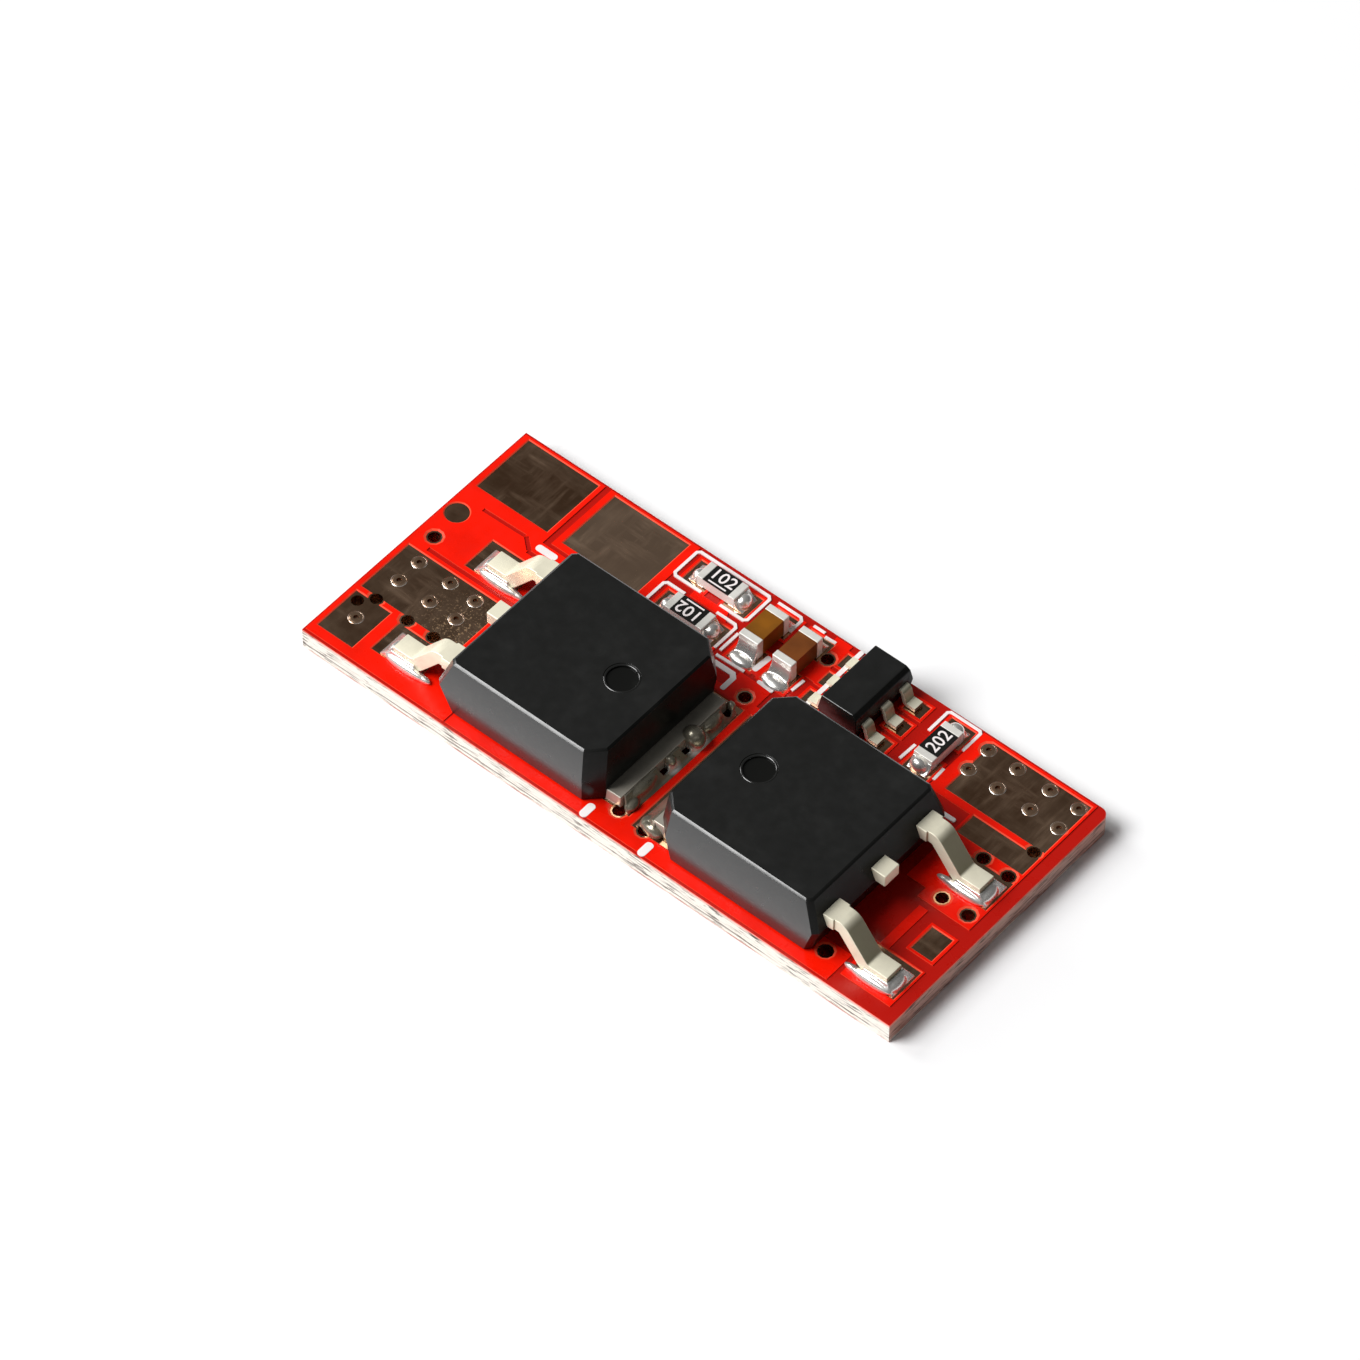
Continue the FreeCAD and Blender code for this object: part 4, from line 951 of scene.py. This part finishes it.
def draw_rings(piece, way, z, lip, steps):
    """Draw the end face at a height out ring by ring, each grown and raised by a step."""
    bpy.ops.object.mode_set(mode="EDIT")
    bpy.ops.mesh.select_all(action="DESELECT")
    mesh = bmesh.from_edit_mesh(piece.data)
    for face in mesh.faces:
        face.select = face.normal.z * way > 0.9
    bmesh.update_edit_mesh(piece.data)
    for grow, rise in steps:
        bpy.ops.mesh.extrude_region_move(TRANSFORM_OT_translate={"value": (0, 0, lip * rise)})
        bpy.ops.transform.resize(value=(grow, grow, 1.0), center_override=(0, 0, z))
    bpy.ops.object.mode_set(mode="OBJECT")


class BOARD_OT_plugs(bpy.types.Operator):
    """Fill the plated holes of the stitched pads with tin"""
    bl_idname = "board.fill_holes"
    bl_label = "Fill the pads' holes"

    def execute(self, context):
        colours = context.scene.board_colours
        first = filled_hole(context.scene.board_sizes)
        metal = hole_finish(colours)
        for number, (x, y) in enumerate(FILLED_HOLES, 1):
            plug = first.copy()
            plug.data = first.data.copy()
            context.scene.collection.objects.link(plug)
            plug.data.transform(Matrix.Translation(board_point(x, y, 0)))
            finish_piece(plug, "filled_hole_%02d" % number, metal)
        bpy.data.objects.remove(first)
        return {"FINISHED"}


class BOARD_OT_print(bpy.types.Operator):
    """Print the legend and the plain numbers"""
    bl_idname = "board.print_legend"
    bl_label = "Print the legend"

    def execute(self, context):
        sizes = context.scene.board_sizes
        ink = glaze_finish("white_ink", context.scene.board_colours.ink, 0.55, 0.10)
        legend(sizes, ink)
        for node, text, turn, underlined in CODES:
            resistor_code(node, text, turn, underlined, sizes, ink)
        return {"FINISHED"}


def camera_axes(stage):
    """Right, up and back directions of the camera."""
    azimuth, elevation, roll = stage.azimuth, stage.elevation, stage.roll
    back = Vector((math.cos(elevation) * math.cos(azimuth),
                   math.cos(elevation) * math.sin(azimuth), math.sin(elevation)))
    right = Vector((0, 0, 1)).cross(back).normalized()
    up = back.cross(right)
    turned_right = math.cos(roll) * right + math.sin(roll) * up
    turned_up = -math.sin(roll) * right + math.cos(roll) * up
    return turned_right, turned_up, back


def add_camera(stage):
    """Camera at the photo's place and lens."""
    right, up, back = camera_axes(stage)
    data = bpy.data.cameras.new("camera")
    data.lens = stage.lens
    data.sensor_width = SENSOR_WIDTH
    data.clip_start = 0.01
    data.clip_end = 10.0
    camera = bpy.data.objects.new("camera", data)
    bpy.context.scene.collection.objects.link(camera)
    place = Vector((0, 0, TOP)) - stage.aside * right - stage.above * up + stage.distance * back
    turn = Matrix((right, up, back)).transposed().to_4x4()
    camera.matrix_world = Matrix.Translation(place) @ turn
    bpy.context.scene.camera = camera


def add_lamp(name, azimuth, elevation, distance, size, power):
    """Square soft lamp aimed at the board, placed by its direction in degrees."""
    a, e = math.radians(azimuth), math.radians(elevation)
    back = Vector((math.cos(e) * math.cos(a), math.cos(e) * math.sin(a), math.sin(e)))
    data = bpy.data.lights.new(name, "AREA")
    data.shape = "SQUARE"
    data.size = size
    data.energy = power
    lamp = bpy.data.objects.new(name, data)
    bpy.context.scene.collection.objects.link(lamp)
    turn = back.to_track_quat("Z", "Y").to_matrix().to_4x4()
    lamp.matrix_world = Matrix.Translation(back * distance) @ turn


def floor_finish(tone):
    """Plain pale floor with the faintest unevenness."""
    shader = Shader("floor")
    cloud = shader.ranged(shader.noise(14, 3), 0.3, 0.7)
    soft = dimmed(tone, 0.985)
    shader.link(shader.blend(cloud, soft, tone), "Base Color")
    shader.set(Roughness=0.9, Specular_IOR_Level=0.1)
    return shader.material


class BOARD_OT_stage(bpy.types.Operator):
    """Add the floor, the lamps and the camera"""
    bl_idname = "board.set_stage"
    bl_label = "Set the stage"

    def execute(self, context):
        stage = context.scene.board_stage
        start()
        bpy.ops.mesh.primitive_plane_add(size=FLOOR_SIZE, location=(0, 0, -FLOOR_GAP))
        floor = context.object
        floor.name = "floor"
        bpy.ops.object.transform_apply(location=True, rotation=False, scale=False)
        floor.data.materials.append(floor_finish(stage.floor))
        world = bpy.data.worlds.new("world")
        world.use_nodes = True
        background = world.node_tree.nodes["Background"]
        background.inputs["Color"].default_value = (1.0, 1.0, 1.0, 1.0)
        background.inputs["Strength"].default_value = stage.world
        context.scene.world = world
        add_lamp("key", *KEY_PLACE, stage.key)
        add_lamp("side", *SIDE_PLACE, stage.side)
        add_camera(stage)
        context.scene.view_settings.view_transform = "Standard"
        return {"FINISHED"}


class BOARD_PT_panel(bpy.types.Panel):
    """Lists the steps in the 3D view's sidebar"""
    bl_idname = "BOARD_PT_panel"
    bl_label = "Protection board"
    bl_space_type = "VIEW_3D"
    bl_region_type = "UI"
    bl_category = "Board"

    def draw(self, context):
        for operator in OPERATORS:
            self.layout.operator(operator.bl_idname)


OPERATORS = (BOARD_OT_board, BOARD_OT_transistors, BOARD_OT_controller, BOARD_OT_chips,
             BOARD_OT_solder, BOARD_OT_plugs, BOARD_OT_print, BOARD_OT_stage)
GROUPS = (BoardColours, BoardSizes, StageSettings)
CLASSES = GROUPS + OPERATORS + (BOARD_PT_panel,)


def register():
    """Add the classes and the settings on the scene."""
    for item in CLASSES:
        bpy.utils.register_class(item)
    bpy.types.Scene.board_colours = PointerProperty(type=BoardColours)
    bpy.types.Scene.board_sizes = PointerProperty(type=BoardSizes)
    bpy.types.Scene.board_stage = PointerProperty(type=StageSettings)


def unregister():
    """Take the settings and the classes away again."""
    del bpy.types.Scene.board_stage
    del bpy.types.Scene.board_sizes
    del bpy.types.Scene.board_colours
    for item in reversed(CLASSES):
        bpy.utils.unregister_class(item)


def main():
    """Dress the board, print it and set the stage."""
    register()
    bpy.ops.board.finish_board()
    bpy.ops.board.finish_transistors()
    bpy.ops.board.finish_controller()
    bpy.ops.board.finish_chips()
    bpy.ops.board.set_solder()
    bpy.ops.board.fill_holes()
    bpy.ops.board.print_legend()
    bpy.ops.board.set_stage()


if __name__ == "__main__":
    main()
